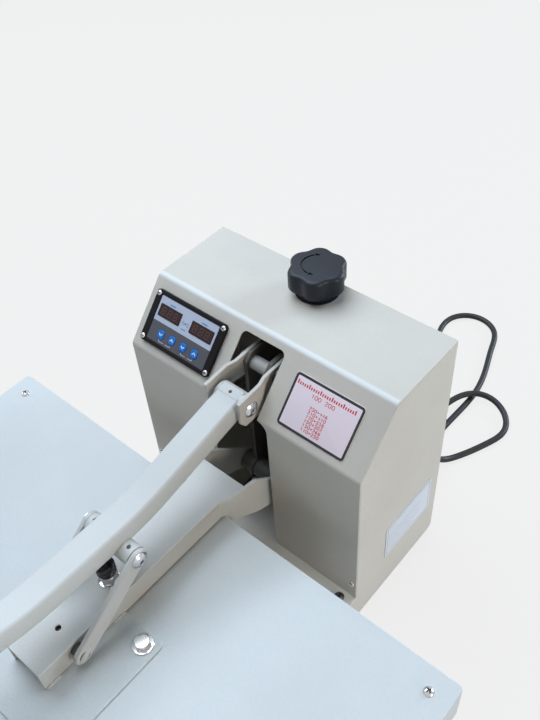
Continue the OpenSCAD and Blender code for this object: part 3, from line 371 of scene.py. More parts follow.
def seenRays(wire):
    # 1 for what the camera meets, straight, in a mirror or through a clear piece, and 0 for light on its way
    kinds = ("Camera", "Glossy", "Transmission")
    straight, mirror, clear = (wire.node("LightPath", out="Is %s Ray" % kind) for kind in kinds)
    return straight.most(mirror).most(clear)


def floorPaper():
    # pale paper: what the camera meets is mostly the backdrop's own level, the rest takes the shadow
    f = Finish("floorPaper", Roughness=0.9)
    fleck = f.noise(900.0, 2.0, 0.5)
    f.set("Base Color", fleck.blend((0.50, 0.49, 0.475), (0.53, 0.52, 0.505)))
    glow = f.wire.node("Emission", {}, {"Color": shade(studio["seen"]), "Strength": 1.0})
    paper = Wire(f.wire.tree, f.shader.outputs[0])
    mixed = f.wire.node("MixShader", {}, {0: seenRays(f.wire) * studio["share"], 1: paper, 2: glow})
    end = next(n for n in f.wire.tree.nodes if n.type == "OUTPUT_MATERIAL")
    f.wire.plug(end.inputs["Surface"], mixed)
    return f.material


def setWorld():
    # a faint warm sky for the light, a plain pale backdrop for what the camera meets
    scene.world = sky = bpy.data.worlds.new("studio")
    sky.use_nodes = True
    w, level = Wire(sky.node_tree), studio["skyLevel"]
    back = next(n for n in sky.node_tree.nodes if n.type == "BACKGROUND")
    seen = seenRays(w)
    w.plug(back.inputs["Color"], seen.blend(studio["sky"], studio["backdrop"]))
    w.plug(back.inputs["Strength"], seen * (1 - level) + level)


# mesh tools

mending = {"merge": 2e-6, "thin": 1e-7}  # metres under which points are one, and an edge is nothing
easing = {"merge": 3e-6, "flat": 0.003, "sharp": 33, "smooth": 30}


def gridFaces(rows, columns):
    # quads between neighbouring rows of a grid whose last column joins its first
    r, c = np.meshgrid(np.arange(rows - 1), np.arange(columns), indexing="ij")
    here, beside = r * columns + c, r * columns + (c + 1) % columns
    return np.stack([here, beside, beside + columns, here + columns], -1).reshape(-1, 4)


class Shell:
    # gathers grids of points into one closed mesh

    def __init__(self):
        self.points, self.faces, self.count = [], [], 0

    def grid(self, points, caps=True):
        # points is rows x columns x 3; caps closes the first and the last row
        rows, columns = points.shape[:2]
        self.faces += (gridFaces(rows, columns) + self.count).tolist()
        if caps:
            ends = np.arange(columns) + self.count
            self.faces += [ends[::-1].tolist(), (ends + (rows - 1) * columns).tolist()]
        self.points.append(points.reshape(-1, 3))
        self.count += rows * columns
        return self

    def spin(self, profile, at, out=(0, 0, 1), across=(1, 0, 0), n=48):
        # profile rows (r, z), from the axis back to it, turned about out
        return self.grid(stand(turned(profile, n), at, out, across), caps=False)

    def make(self, name, look, slotName, *stands, body=None, smooth=40):
        mesh = bpy.data.meshes.new(name)
        mesh.from_pydata(np.concatenate(self.points).tolist(), [], self.faces)
        work = bmesh.new()
        work.from_mesh(mesh)
        bmesh.ops.remove_doubles(work, verts=work.verts, dist=mending["merge"])
        bmesh.ops.dissolve_degenerate(work, edges=work.edges, dist=mending["thin"])
        bmesh.ops.recalc_face_normals(work, faces=work.faces)
        work.to_mesh(mesh)
        work.free()
        return dress(name, mesh, look, slotName, *stands, body=body, smooth=smooth)


def dress(name, mesh, look, slotName, *stands, body=None, smooth=40):
    # a piece rides on the body of the node that it stands for, or else on the one named, or on the frame
    mesh.shade_smooth()
    mesh.set_sharp_from_angle(angle=math.radians(smooth))
    mesh.materials.clear()
    mesh.materials.append(finish[look])
    piece = added(name, mesh)
    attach(piece, bodyOf(stands[0]) if stands else body or "frame")
    if stands:
        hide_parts(*stands)
    return piece


def easedCopy(node, width, look, slotName, segments=2):
    # the node's own mesh with its flats joined and a narrow round along each sharp edge
    mesh = nodes[node].data.copy()
    work = bmesh.new()
    work.from_mesh(mesh)
    bmesh.ops.remove_doubles(work, verts=work.verts, dist=easing["merge"])
    bmesh.ops.dissolve_limit(work, angle_limit=easing["flat"], verts=work.verts, edges=work.edges)
    work.to_mesh(mesh)
    work.free()
    piece = dress(node + "Eased", mesh, look, slotName, node, smooth=easing["smooth"])
    bevel = piece.modifiers.new("edges", "BEVEL")
    bevel.width, bevel.segments = width / 1000, segments
    bevel.limit_method, bevel.angle_limit = "ANGLE", math.radians(easing["sharp"])
    bevel.use_clamp_overlap, bevel.harden_normals = False, True
    bevel.miter_outer, bevel.loop_slide = "MITER_ARC", False
    # the round takes the look's edge finish where there is one: paler as a painted highlight, and chipped
    if look + "Edge" in finish:
        mesh.materials.append(finish[look + "Edge"])
        bevel.material = 1
    return piece


def loopOf(w, h, r, n=10):
    # rounded rectangle: the corner arc's centre plus r times its direction, n points a corner
    turn = np.linspace(0, math.pi / 2, n)
    a = (np.arange(4)[:, None] * math.pi / 2 + turn).ravel()
    sx, sy = np.repeat([1, -1, -1, 1], n), np.repeat([1, 1, -1, -1], n)
    return np.stack([sx * (w / 2 - r) + r * np.cos(a), sy * (h / 2 - r) + r * np.sin(a)], -1)


def slab(w, h, r, profile, n=10):
    # rounded rectangle carried through profile rows (inset, height): each row is the outline drawn in
    loops = [loopOf(w - 2 * i, h - 2 * i, max(r - i, 0.05), n) for i, z in profile]
    return np.stack([np.column_stack([loop, np.full(4 * n, z)]) for loop, (i, z) in zip(loops, profile)])


def softProfile(low, high, edge, steps=4):
    # a straight side with a quarter round of radius edge at its top
    a = np.linspace(0, math.pi / 2, steps + 1)
    return [(0.0, low)] + [(edge - edge * math.cos(t), high - edge + edge * math.sin(t)) for t in a]


def turned(profile, n):
    # profile rows (r, z) turned about z
    p = np.asarray(profile, float)
    a = np.linspace(0, 2 * math.pi, n, endpoint=False)
    return np.stack([p[:, :1] * np.cos(a), p[:, :1] * np.sin(a), np.repeat(p[:, 1:], n, 1)], -1)


def stand(points, at, out=(0, 0, 1), across=(1, 0, 0)):
    # local z along out, local x along across, at a world place; local sizes in millimetres
    out, across = np.asarray(out, float), np.asarray(across, float)
    way = points[..., :1] * across + points[..., 1:2] * np.cross(out, across) + points[..., 2:] * out
    return np.asarray(at) + way / 1000


def carried(path, across, up, outline):
    # outline rows (s, t) set square to a path: path + s * across + t * up, a row of points for each place
    return path[:, None] + outline[..., :1] * across[:, None] + outline[..., 1:] * up[:, None]


def tubeAlong(path, radius, sides):
    # circle of the given radius at each path point, square to the path, started from the level direction
    t = np.gradient(path, axis=0)
    t /= np.linalg.norm(t, axis=1, keepdims=True)
    s = np.cross(t, [0.0, 0.0, 1.0])
    s /= np.linalg.norm(s, axis=1, keepdims=True)
    u = np.cross(s, t)
    a = np.linspace(0, 2 * math.pi, sides, endpoint=False)
    ring = np.stack([np.cos(a), np.sin(a)], -1)[None] * np.broadcast_to(radius, (len(path),))[:, None, None]
    return carried(path, s, u, ring)


def runAlong(points):
    # length from the first point to each point
    return np.concatenate([[0], np.cumsum(np.linalg.norm(np.diff(points, axis=0), axis=1))])


def smoothThrough(points, step):
    # natural cubic spline over the chord length: one solve gives the second derivatives at the points,
    # each span is the cubic between its two ends, and the curve is then spaced evenly at about step
    run = runAlong(points)
    chord = np.linalg.norm(np.diff(points, axis=0), axis=1)
    n, i = len(points), np.arange(1, len(points) - 1)
    system = np.zeros((n, n))
    system[0, 0] = system[-1, -1] = 1
    system[i, i - 1], system[i, i], system[i, i + 1] = chord[:-1], 2 * (chord[:-1] + chord[1:]), chord[1:]
    kink = np.zeros_like(points)
    kink[1:-1] = 6 * np.diff(np.diff(points, axis=0) / chord[:, None], axis=0)
    bend = np.linalg.solve(system, kink)
    at = np.linspace(0, run[-1], 20 * n)
    k = np.clip(np.searchsorted(run, at, side="right") - 1, 0, n - 2)
    before, after, span = (at - run[k])[:, None], (run[k + 1] - at)[:, None], chord[k][:, None]
    q = (bend[k] * after ** 3 + bend[k + 1] * before ** 3) / (6 * span)
    q += (points[k] / span - bend[k] * span / 6) * after
    q += (points[k + 1] / span - bend[k + 1] * span / 6) * before
    run = runAlong(q)
    at = np.linspace(0, run[-1], int(run[-1] / step) + 1)
    return np.stack([np.interp(at, run, q[:, k]) for k in range(3)], -1)


setCamera()
setLamps()
setWorld()
print("camera, lamps and backdrop set")

# finishes

# the mount's colour is the platen's made about a sixteenth darker: a painted shade for the shadow near the
# lever
paints = {
    "body": (0.640, 0.605, 0.535), "platen": (0.630, 0.662, 0.655), "mount": (0.590, 0.622, 0.615),
    "arm": (0.600, 0.605, 0.575), "rocker": (0.575, 0.560, 0.510), "lever": (0.640, 0.650, 0.625),
}
topFold = world([0, slope["run"] + 0.9, slope["low"] + slope["rise"] - 0.6])  # between the slope and the top
finish = {
    "body": powderCoat("bodyPaint", paints["body"]),
    # the cover's top fold carries the painted highlight
    "cover": powderCoat("coverPaint", paints["body"], fold=topFold),
    "platen": powderCoat("platenPaint", paints["platen"], 380.0),
    # darker copy of the platen's paint: painted shade
    "mount": powderCoat("mountShadedPaint", paints["mount"], 470.0, 0.00045),
    "arm": powderCoat("armPaint", paints["arm"], 560.0, 0.00045),
    "rocker": powderCoat("rockerPaint", paints["rocker"], 520.0, 0.00015),
    "lever": powderCoat("leverPaint", paints["lever"], 520.0, 0.00010),
    "inner": powderCoat("innerPaint", (0.11, 0.10, 0.088), 520.0),
    "spacer": powderCoat("spacerPaint", (0.40, 0.39, 0.36), 520.0),
    "zinc": plating("zincPlate", (0.62, 0.61, 0.61), 0.15),
    "chrome": plating("chromePlate", (0.66, 0.67, 0.69), 0.06),
    "darkSteel": plating("oiledSteel", (0.13, 0.125, 0.12), 0.36),
    # dark sheets at the bottoms of sockets and of the oil hole: painted shade
    "socket": plating("socketShade", (0.05, 0.045, 0.045), 0.45),
    "brass": plating("nutBrass", (0.71, 0.55, 0.27), 0.30),
    "knob": moulded("knobPlastic", (0.006, 0.010, 0.018), 0.34, 1300.0, lift=1.4, shine=0.32),
    "bezel": moulded("bezelPlastic", (0.004, 0.0035, 0.005), 0.36, 1900.0, 0.00003, 1.3, 0.16),
    "rubber": moulded("blackRubber", (0.008, 0.008, 0.010), 0.40, 900.0, 0.00008, shine=0.4),
    "gloss": moulded("glossRubber", (0.005, 0.006, 0.008), 0.14, 900.0, 0.00002),
    "grip": moulded("gripRubber", (0.022, 0.022, 0.024), 0.68, 1100.0, 0.00012),
    "red": moulded("redPlastic", (0.42, 0.020, 0.016), 0.30, 1700.0, 0.00003, 1.1),
    "key": moulded("keyBlue", (0.004, 0.19, 0.68), 0.34, 1700.0, 0.00002, 1.12, 0.3),
    "window": moulded("displayRed", (0.034, 0.011, 0.012), 0.16, 2200.0, 0.00001, 1.2, 0.35),
    "segment": ink("unlitSegment", (0.050, 0.016, 0.017), 0.3),
    "overlay": overlayFilm(split=36.2),
    "label": ink("labelFilm", (0.90, 0.77, 0.83), 0.42),
    "plate": ink("plateFilm", (0.72, 0.76, 0.82), 0.36),
    "blackInk": ink("blackInk", (0.010, 0.009, 0.010)),
    "redInk": ink("redInk", (0.62, 0.016, 0.014)),
    "whiteInk": ink("whiteInk", (0.78, 0.80, 0.83)),
    "blueInk": ink("blueInk", (0.10, 0.28, 0.52)),
    "greyInk": ink("greyInk", (0.40, 0.46, 0.53)),
    "silicone": siliconeSponge(),
    "aluminium": castAluminium(),
    "board": fibreBoard(),
}
# each paint's edge finish: its colour paler in patches as a painted highlight, with chips
for paint, colour in paints.items():
    finish[paint + "Edge"] = chippedEdgeHighlight(paint + "Edge", colour)
finish["coverEdge"] = finish["bodyEdge"]
print("finishes mixed:", len(finish))

# mains lead

lead = {
    "diameter": 8.2, "sides": 16, "step": 3.0,
    "floor": -51.7,  # height of its middle where it lies on the table
    "coil": {"x": -95.0, "y": 300.0, "r": 55.0, "pitch": 9.6, "rise": 9.2,
             "loops": 1, "steps": 24, "tail": 48.0},
    "route": [
        (95, 177, 14), (95, 187, 14), (96.2, 208, 9.2), (99.4, 222.6, -3.4), (101.6, 229.8, -18.8),
        (104.2, 236.9, -34.3), (110.1, 250.6, -46.9), (118.7, 268.8), (138.2, 311.5), (144.6, 340.6),
        (138.4, 358.5, -51.14), (124.3, 371.4, -48.32), (106, 376.1, -44.56), (86.6, 371.2, -42.3),
        (72.3, 357.3, -42.3), (55.9, 313.3, -47.19), (28.4, 275.5), (-2.4, 240.3), (-7.4, 218), (-1.6, 199),
        (12.8, 185.3), (32.1, 180.5), (51.3, 185.5), (68.6, 201.9), (79.3, 237), (78.5, 284), (79.4, 330.9),
        (79.1, 377.9), (69.1, 423.7), (53.6, 468.1), (36.8, 504), (19.4, 513.8), (0.5, 514.1), (-16.4, 505.4),
        (-27.2, 489.8), (-29.1, 468.9), (-16.9, 423.6), (-22.1, 377.3), (-37.9, 333.1), (-40, 308.2),
    ],
    "tie": {"width": 9.0, "thick": 0.9, "turn": 0.62, "slack": (2, 0.3), "corner": 5.0, "table": 0.04},
    "relief": {"length": 34.0, "thick": 3.0, "gap": 0.15, "tuck": 0.4, "ribs": 7, "rib": 0.7, "fade": 0.6},
    "plugEdge": 1.2,
}


def coilLine():
    # flat spiral in, half a turn up, flat spiral out: radius falls by the pitch each turn and grows again
    c = lead["coil"]
    turns = 2 * c["loops"] + 0.5
    t = np.linspace(0, turns, int(turns * c["steps"]) + 1)
    r = c["r"] - c["pitch"] * np.minimum(t, turns - t)
    lift = c["rise"] * np.clip(2 * (t - c["loops"]), 0, 1)
    a = -2 * math.pi * t
    return np.stack([c["x"] + r * np.cos(a), c["y"] + r * np.sin(a), lead["floor"] + lift], -1)


def tieCoil():
    # hook-and-loop tie: a flat band round the bundle of turns, its section carried round the bundle's outline
    c, tie = lead["coil"], lead["tie"]
    turn = tie["turn"] * 2 * math.pi
    radial = np.array([math.cos(turn), math.sin(turn), 0.0])
    middle = np.array([c["x"], c["y"], lead["floor"] + c["rise"] / 2])
    hub = world(middle + (c["r"] - 0.5 * c["pitch"]) * radial)
    wide, tall = 3 * c["pitch"] + tie["slack"][0], lead["diameter"] + c["rise"] + tie["slack"][1]
    around = loopOf(wide, tall, tie["corner"], 8)
    loop = hub + (around[:, :1] * radial + around[:, 1:] * [0, 0, 1]) / 1000
    outward = (loop - hub) / np.linalg.norm(loop - hub, axis=1, keepdims=True) * tie["thick"] / 1000
    along = np.cross(radial, [0.0, 0.0, 1.0]) * tie["width"] / 2000
    band = np.stack([loop + s * along + t * outward for s, t in ((-1, 0), (-1, 1), (1, 1), (1, 0), (-1, 0))])
    band[..., 2] = np.maximum(band[..., 2], tie["table"] / 1000)  # pressed flat under the turns
    return Shell().grid(band, caps=False).make("leadTie", "grip", "black_rubber")


def sleeveAt(end):
    # moulded sleeve at the plug: tapered, with ribs that fade towards its thin end
    p, core = lead["relief"], lead["diameter"] / 2
    s = np.linspace(0, 1, 64)
    rib = p["rib"] * np.clip(np.sin(s * p["ribs"] * 2 * math.pi), 0, 1) * (1 - p["fade"] * s)
    side = np.stack([core + p["gap"] + p["thick"] * (1 - s) + rib, -s * p["length"]], -1)
    rows = np.vstack([[core - p["tuck"], 0], side, [core - p["tuck"], -p["length"]]])
    return Shell().spin(rows, end, (0, 1, 0), n=28).make("plugSleeve", "rubber", "black_plastic")


def layLead():
    # a tube on one spline through the route, the coil and a straight tail to the plug
    start = np.array([p if len(p) > 2 else (*p, lead["floor"]) for p in lead["route"]], float)
    coil = coilLine()
    tail = coil[-1] + np.outer(np.linspace(0, 1, 4)[1:], [0, lead["coil"]["tail"], 0])
    line = smoothThrough(world(np.vstack([start, coil, tail])), lead["step"] / 1000)
    cable = Shell().grid(tubeAlong(line, lead["diameter"] / 2000, lead["sides"]))
    cable = cable.make("mainsLead", "rubber", "black_rubber", "mains_lead", "cord_coil")
    strap, sleeve = tieCoil(), sleeveAt(line[-1])
    plug = easedCopy("mains_plug", lead["plugEdge"], "bezel", "black_plastic", 3)


layLead()

# sheet metal: each node's own shape with its cut edges rounded

sheets = {
    "body": (0.45, "body_paint", ["base_deck", "side_plate_left", "side_plate_right", "back_panel"]),
    "cover": (0.45, "body_paint", ["tower_cover"]),
    "platen": (0.8, "platen_paint", ["platen_cover", "lower_platen"]),
    "mount": (0.7, "arm_paint", ["mounting_plate"]),
    "arm": (1.1, "arm_paint", ["ear_left", "ear_right", "arm_channel"]),
    "rocker": (0.9, "arm_paint", ["rocker_plate_left", "rocker_plate_right"]),
    "lever": (0.5, "arm_paint", ["lever_bush", "link_boss"]),
    "inner": (0.6, "inner_steel", ["upright_left", "upright_right", "platen_risers"]),
    "spacer": (0.5, "inner_steel", ["shaft_spacers"]),
    "bezel": (0.8, "black_plastic", ["controller_bezel", "switch_frame"]),
    "red": (0.6, "red_plastic", ["switch_rocker"]),
    "aluminium": (0.7, "plate_aluminium", ["heating_plate"]),
}
rawBelow = 150.0  # the spacers of the lower shaft are raw, those of the rocker's shaft are painted


def easeSheets():
    for look, (width, slotName, names) in sheets.items():
        for name in names:
            easedCopy(name, width, look, slotName)
    spacers = bpy.data.objects["shaft_spacersEased"].data
    spacers.materials.append(finish["inner"])
    height = np.array([face.center.z for face in spacers.polygons])
    raw = height < world([0, 0, rawBelow])[2]
    spacers.polygons.foreach_set("material_index", raw.astype(np.int32))


easeSheets()
print("sheet edges eased:", sum(len(names) for _, _, names in sheets.values()))

# heads and sockets of bolts and screws

sockets = {
    "slim": 3.6,  # a cross's length over its width
    "soft": 0.16, "floor": 0.3,  # half the run of a wall, thickness of a floor
    "third": 0.866,  # sine of a hexagon's 60 degrees
    "off": 0.002,  # keeps the floor's angles off the bars' middles
}
hexCut = {"rings": [0, 0.5, 0.8, 0.84, 0.88, 0.92, 0.96, 1.0],
          "from": 0.47, "fall": 0.5, "foot": 0.3, "in": 0.96}
rodEnd = {"in": 0.5, "up": 0.6, "into": 0.2}  # a shank's chamfer, and how far it goes into its head


def sunken(kind, x, y, wide):
    # 1 inside a socket's outline, 0 outside: a hexagon is the largest of three widths,
    # a cross the lesser of two bars
    if kind == "hex":
        rise = y * sockets["third"]
        reach = np.max(np.abs([x, x / 2 + rise, x / 2 - rise]), axis=0)
    else:
        x, y, slim = np.abs(x), np.abs(y), sockets["slim"]
        reach = np.minimum(np.maximum(x, slim * y), np.maximum(slim * x, y))
    return np.clip((wide / 2 + sockets["soft"] - reach) / (2 * sockets["soft"]), 0, 1)


def domeHead(r, h, kind, wide, deep, rows=28, sides=64, skirt=0.16):
    # cap of a ball through the crown and the rim, on a low upright skirt,
    # less the socket's depth inside its outline
    s, a = np.linspace(0, 1, rows)[:, None], np.linspace(0, 2 * math.pi, sides, endpoint=False)[None]
    x, y = r * s * np.cos(a), r * s * np.sin(a)
    ball = (r * r + h * h) / (2 * h)
    cap = np.sqrt(ball ** 2 - (r * s) ** 2) - (ball - h)
    z = skirt * h + (1 - skirt) * cap - deep * sunken(kind, x, y, wide)
    return np.concatenate([np.stack([x, y, z], -1), np.stack([x[-1:], y[-1:], 0 * x[-1:]], -1)])


def hexEdge(wide, a):
    # radius of a hexagon: half its width over the cosine of the angle from the nearest flat's middle
    return wide / 2 / np.cos((a + math.pi / 6) % (math.pi / 3) - math.pi / 6)


def socketFloor(kind, wide, z, sides=72):
    # flat dark sheet out to the socket's outline, a painted shade at the socket's bottom; a cross reaches to
    # the further of its two bars in each direction
    a = np.linspace(0, 2 * math.pi, sides, endpoint=False)[None] + sockets["off"]
    if kind == "round":
        edge = wide / 2 + 0 * a
    elif kind == "hex":
        edge = hexEdge(wide, a)
    else:
        c, s, slim = np.abs(np.cos(a)), np.abs(np.sin(a)), sockets["slim"]
        edge = wide / 2 * np.maximum(np.minimum(1 / c, 1 / (slim * s)), np.minimum(1 / (slim * c), 1 / s))
    r = np.array([0, 0.5, 1, 1, 0])[:, None] * edge
    height = z - sockets["floor"] * np.array([0, 0, 0, 1, 1])[:, None] + 0 * a
    return np.stack([r * np.cos(a), r * np.sin(a), height], -1)


def hexHead(wide, h, sides=72):
    # flat top out to the chamfer circle, then falling by half of what the radius gains, to six flats
    a = np.linspace(0, 2 * math.pi, sides, endpoint=False)[None]
    edge, c = hexEdge(wide, a), hexCut
    r = np.array(c["rings"])[:, None] * edge
    z = h - c["fall"] * np.clip(r - c["from"] * wide, 0, None)
    r, z = np.concatenate([r, edge, c["in"] * edge]), np.concatenate([z, 0 * edge + c["foot"], 0 * edge])
    return np.stack([r * np.cos(a), r * np.sin(a), z], -1)


def shank(r, length):
    # plain rod down from the head, its end chamfered
    e = rodEnd
    return [(0.0, -length), (r - e["in"], -length), (r, -length + e["up"]), (r, e["into"]), (0.0, e["into"])]


# lever tube and link bars

lever = {"y": -2.0, "z": 222.0, "wide": 32.2, "tall": 24.2, "corner": 2.0, "bow": 2.9,
         "back": -8.0, "close": 2.0, "seam": {"at": 5.0, "half": 1.1, "deep": 0.45},
         "runs": [(112.0, -12.5), (75.0, 0.0), (211.0, 14.0)],  # length and heading of each
         "bend": 230.0, "step": 1.0, "oil": (3.6, 0.06)}


def bowedLoop(wide, tall, corner, bow, steps=12):
    # rounded rectangle whose two sides swell out by a parabola over the height
    w, t, h = wide / 2 - bow, tall / 2, tall / 2 - corner
    a = np.linspace(-math.pi / 2, math.pi / 2, 14)
    turn = np.stack([w - corner + corner * np.cos(a), np.sign(a) * h + corner * np.sin(a)], -1)
    side = np.stack([np.full(steps, w), np.linspace(-h, h, steps + 2)[1:-1]], -1)
    half = np.concatenate([turn[:7], side, turn[7:]])
    loop = np.concatenate([half, -half])
    loop[:, 0] += bow * np.sign(loop[:, 0]) * (1 - (loop[:, 1] / t) ** 2)
    return loop


def makeLever():
    # the heading holds in each run and turns evenly through each bend; the path is its sum over the length,
    # and the section is carried along it, drawn in at the back end and by a hair at the bush's weld seam
    p, seam = lever, lever["seam"]
    marks, headings = [p["back"]], [p["runs"][0][1]]
    for i, (run, heading) in enumerate(p["runs"]):
        if i:
            marks.append(marks[-1] + p["bend"] * math.radians(abs(heading - headings[-1])))
            headings.append(heading)
        marks.append((marks[-1] if i else 0) + run)
        headings.append(heading)
    s = np.arange(p["back"], marks[-1] + p["step"] / 2, p["step"])
    turn = np.radians(np.interp(s, marks, headings))
    ahead = np.stack([0 * s, -np.cos(turn), np.sin(turn)], -1)
    path = np.cumsum((ahead[1:] + ahead[:-1]) / 2 * p["step"], axis=0)
    line = np.concatenate([np.zeros((1, 3)), path]) + p["back"] * ahead[:1]
    up = np.stack([0 * s, np.sin(turn), np.cos(turn)], -1)
    across = np.repeat([[1.0, 0.0, 0.0]], len(s), 0)
    inset = p["close"] * np.clip(1 - (s - p["back"]) / 2, 0, 1) ** 2
    inset += seam["deep"] * np.clip(seam["half"] - np.abs(s - seam["at"]), 0, 1)
    share = 1 - inset[:, None] / np.array([p["wide"] / 2, p["tall"] / 2])
    section = bowedLoop(p["wide"], p["tall"], p["corner"], p["bow"])[None] * share[:, None] / 1000
    tube = Shell().grid(carried(world([0, p["y"], p["z"]] + line), across, up, section))
    tube.make("leverTube", "lever", "arm_paint", "lever_tube", smooth=38)
    # dark disc just above the lever's top over the rear pivot: a painted shade standing in for the oil hole
    wide, proud = p["oil"]
    hole = socketFloor("round", wide, p["tall"] / 2 + proud, 32)
    hole = Shell().grid(stand(hole, world([0, p["y"], p["z"]]), up[0]), caps=False)
    hole.make("leverOilHoleShade", "socket", "dark_steel", body=bodyOf("lever_tube"))


links = {"in": 29.0, "thick": 5.0, "edge": 1.3, "top": (-168.0, 179.007), "topR": 9.9,
         "foot": (-247.0, 122.0), "footR": 9.7, "pin": {"r": 6.0, "half": 34.4, "edge": 0.5},
         "cap": {"long": 8.6, "wide": 4.6, "h": 1.9, "power": 2.6, "sunk": 0.1}}
linkRun = np.array([0.0, *np.subtract(links["foot"], links["top"])])


def makeLinks():
    # outline of two circles and their common tangents, drawn in by the edge's quarter round at both faces
    p, length = links, np.linalg.norm(linkRun)
    touch = math.acos((p["topR"] - p["footR"]) / length)
    a, b = np.linspace(touch, 2 * math.pi - touch, 40), np.linspace(-touch, touch, 40)
    turn = np.linspace(0, math.pi / 2, 5)
    e, t = p["edge"], p["thick"]
    inset = np.concatenate([e - e * np.sin(turn), e - e * np.sin(turn[::-1])])
    high = np.concatenate([e - e * np.cos(turn), t - e + e * np.cos(turn[::-1])])
    tops = (p["topR"] - inset)[:, None, None] * np.stack([np.cos(a), np.sin(a)], -1)
    feet = (p["footR"] - inset)[:, None, None] * np.stack([np.cos(b), np.sin(b)], -1) + [length, 0]
    loop = np.concatenate([tops, feet], 1)
    bar = np.concatenate([loop, np.repeat(high[:, None, None], loop.shape[1], 1)], -1)
    for name, side in (("Left", -1), ("Right", 1)):
        shell = Shell().grid(stand(bar, world([side * p["in"], *p["top"]]), (side, 0, 0), linkRun / length))
        shell.make("linkBar" + name, "arm", "arm_paint", "link_" + name.lower(), smooth=50)


def makeLinkPin():
    # plain rod across the channel and both links, its ends broken by a small chamfer; its dark inner finish
    # is a painted shade for the gaps between the channel and the links
    r, h, e = (links["pin"][k] for k in ("r", "half", "edge"))
    rod = [(0, -h), (r - e, -h), (r, e - h), (r, 0), (r, h - e), (r - e, h), (0, h)]
    shell = Shell().spin(rod, world([0, *links["foot"]]), (1, 0, 0), (0, 1, 0), 40)
    shell.make("linkPin", "inner", "arm_paint", "link_pin")


makeLever()
makeLinks()
makeLinkPin()
print("lever and links drawn")

# bolts and screws

mountPlaces = [(x, y) for x in (-59, 59) for y in (-312, -204)]
bolts = {
    "mountBolts": {"stands": "mount_bolts", "at": [(x, y, 108.6) for x, y in mountPlaces],
                   "head": hexHead(14, 5.3), "shank": (4.0, 40.0), "look": "zinc", "slot": "bright_steel"},
    "coverScrews": {"stands": "cover_screws", "at": [(x, y, 104) for x in (-281, 281) for y in (-439, -77)],
                    "head": domeHead(4.9, 3.0, "cross", 5.0, 1.6), "socket": ("cross", 4.8, 1.8),
                    "shank": (2.0, 17.0), "look": "zinc", "slot": "bright_steel"},
    "deckBolts": {"stands": "deck_bolts", "at": [(-135, -9.5, 0), (135, -9.5, 0)],
                  "head": domeHead(5.5, 3.5, "hex", 4.0, 1.8), "socket": ("hex", 3.8, 2.0),
                  "shank": (3.0, 11.0), "look": "darkSteel", "slot": "dark_steel"},
}


boltTurn = {"first": 0.35, "more": 1.3}  # each one is stopped at its own turn


def setBolts():
    for name, kind in bolts.items():
        shell, floor = Shell(), Shell()
        for i, at in enumerate(kind["at"]):
            turn = boltTurn["first"] + boltTurn["more"] * i
            place = world(at), (0, 0, 1), (math.cos(turn), math.sin(turn), 0.0)
            shell.grid(stand(kind["head"], *place)).spin(shank(*kind["shank"]), *place, 24)
            if "socket" in kind:
                floor.grid(stand(socketFloor(*kind["socket"]), *place), caps=False)
        shell.make(name, kind["look"], kind["slot"], kind["stands"])
        if floor.points:
            floor.make(name + "Sockets", "socket", "dark_steel", body=bodyOf(kind["stands"]))


smallScrews = {"head": domeHead(2.9, 1.9, "cross", 3.4, 1.1), "floor": socketFloor("cross", 3.2, 1.1),
               "shank": (1.5, 7.0), "front": (144.6, 24.4), "bezel": (-91.5, 39.0, 4.0),
               "spread": (45.25, 24.5), "first": 0.4, "more": 1.1}


def setSmallScrews():
    # two on the front panel, and one at each corner of the controller, stopped at different turns
    p, shell, floor = smallScrews, Shell(), Shell()
    x, z = p["front"]
    places = [(world([side * x, 0, z]), (0, -1, 0), (1, 0, 0)) for side in (-1, 1)]
    for i, corner in enumerate([(-1, -1), (1, -1), (1, 1), (-1, 1)]):
        at = onSlope(np.array(p["bezel"]) + [*np.multiply(corner, p["spread"]), 0])
        turn = p["first"] + p["more"] * i
        places.append((at, slopeOut, math.cos(turn) * np.array([1.0, 0, 0]) + math.sin(turn) * slopeUp))
    for place in places:
        shell.grid(stand(p["head"], *place)).spin(shank(*p["shank"]), *place, 24)
        floor.grid(stand(p["floor"], *place), caps=False)
    floor.make("panelScrewsSockets", "socket", "dark_steel")
    shell.make("panelScrews", "zinc", "bright_steel", "panel_screws")


pivotHeads = {
    "linkBolts": {"stands": "link_bolts", "at": (34.0, *links["top"]), "r": 8.5, "h": 4.2,
                  "shank": (5.0, 21.0)},
    "pivotBolts": {"stands": "pivot_bolts", "at": (23.3, lever["y"], lever["z"]), "r": 8.7, "h": 3.8,
                   "shank": (5.0, 6.8), "collar": {"r": 9.0, "low": -7.0, "high": -4.0, "edge": 0.4}},
}
pivotSocket = {"wide": 4.8, "deep": 2.0, "floorWide": 4.6, "floorDeep": 1.5, "turn": 0.5, "rows": 34}


def setPivotHeads():
    # a domed head on each side of the linkage, and on the lever's pivot a chamfered collar behind it
    s = pivotSocket
    tilt = (0, math.cos(s["turn"]), math.sin(s["turn"]))
    for name, p in pivotHeads.items():
        shell, floor = Shell(), Shell()
        head = domeHead(p["r"], p["h"], "hex", s["wide"], s["deep"], s["rows"])
        hollow = socketFloor("hex", s["floorWide"], p["h"] - s["floorDeep"])
        for side in (-1, 1):
            at, out = world(np.array(p["at"]) * [side, 1, 1]), (side, 0, 0)
            floor.grid(stand(hollow, at, out, tilt), caps=False)
            shell.grid(stand(head, at, out, tilt)).spin(shank(*p["shank"]), at, out, (0, 1, 0), 24)
            if "collar" in p:
                r, low, high, e = (p["collar"][k] for k in ("r", "low", "high", "edge"))
                ring = [(0.0, low), (r - e, low), (r, low + e), (r, high - e), (r - e, high), (0.0, high)]
                shell.spin(ring, at, out, (0, 1, 0), 40)
        shell.make(name, "chrome", "bright_steel", p["stands"])
        floor.make(name + "Sockets", "socket", "dark_steel", body=bodyOf(p["stands"]))


washers = {"low": 107.0, "r": 10.6, "hole": 4.2, "thick": 1.6, "edge": 0.35}


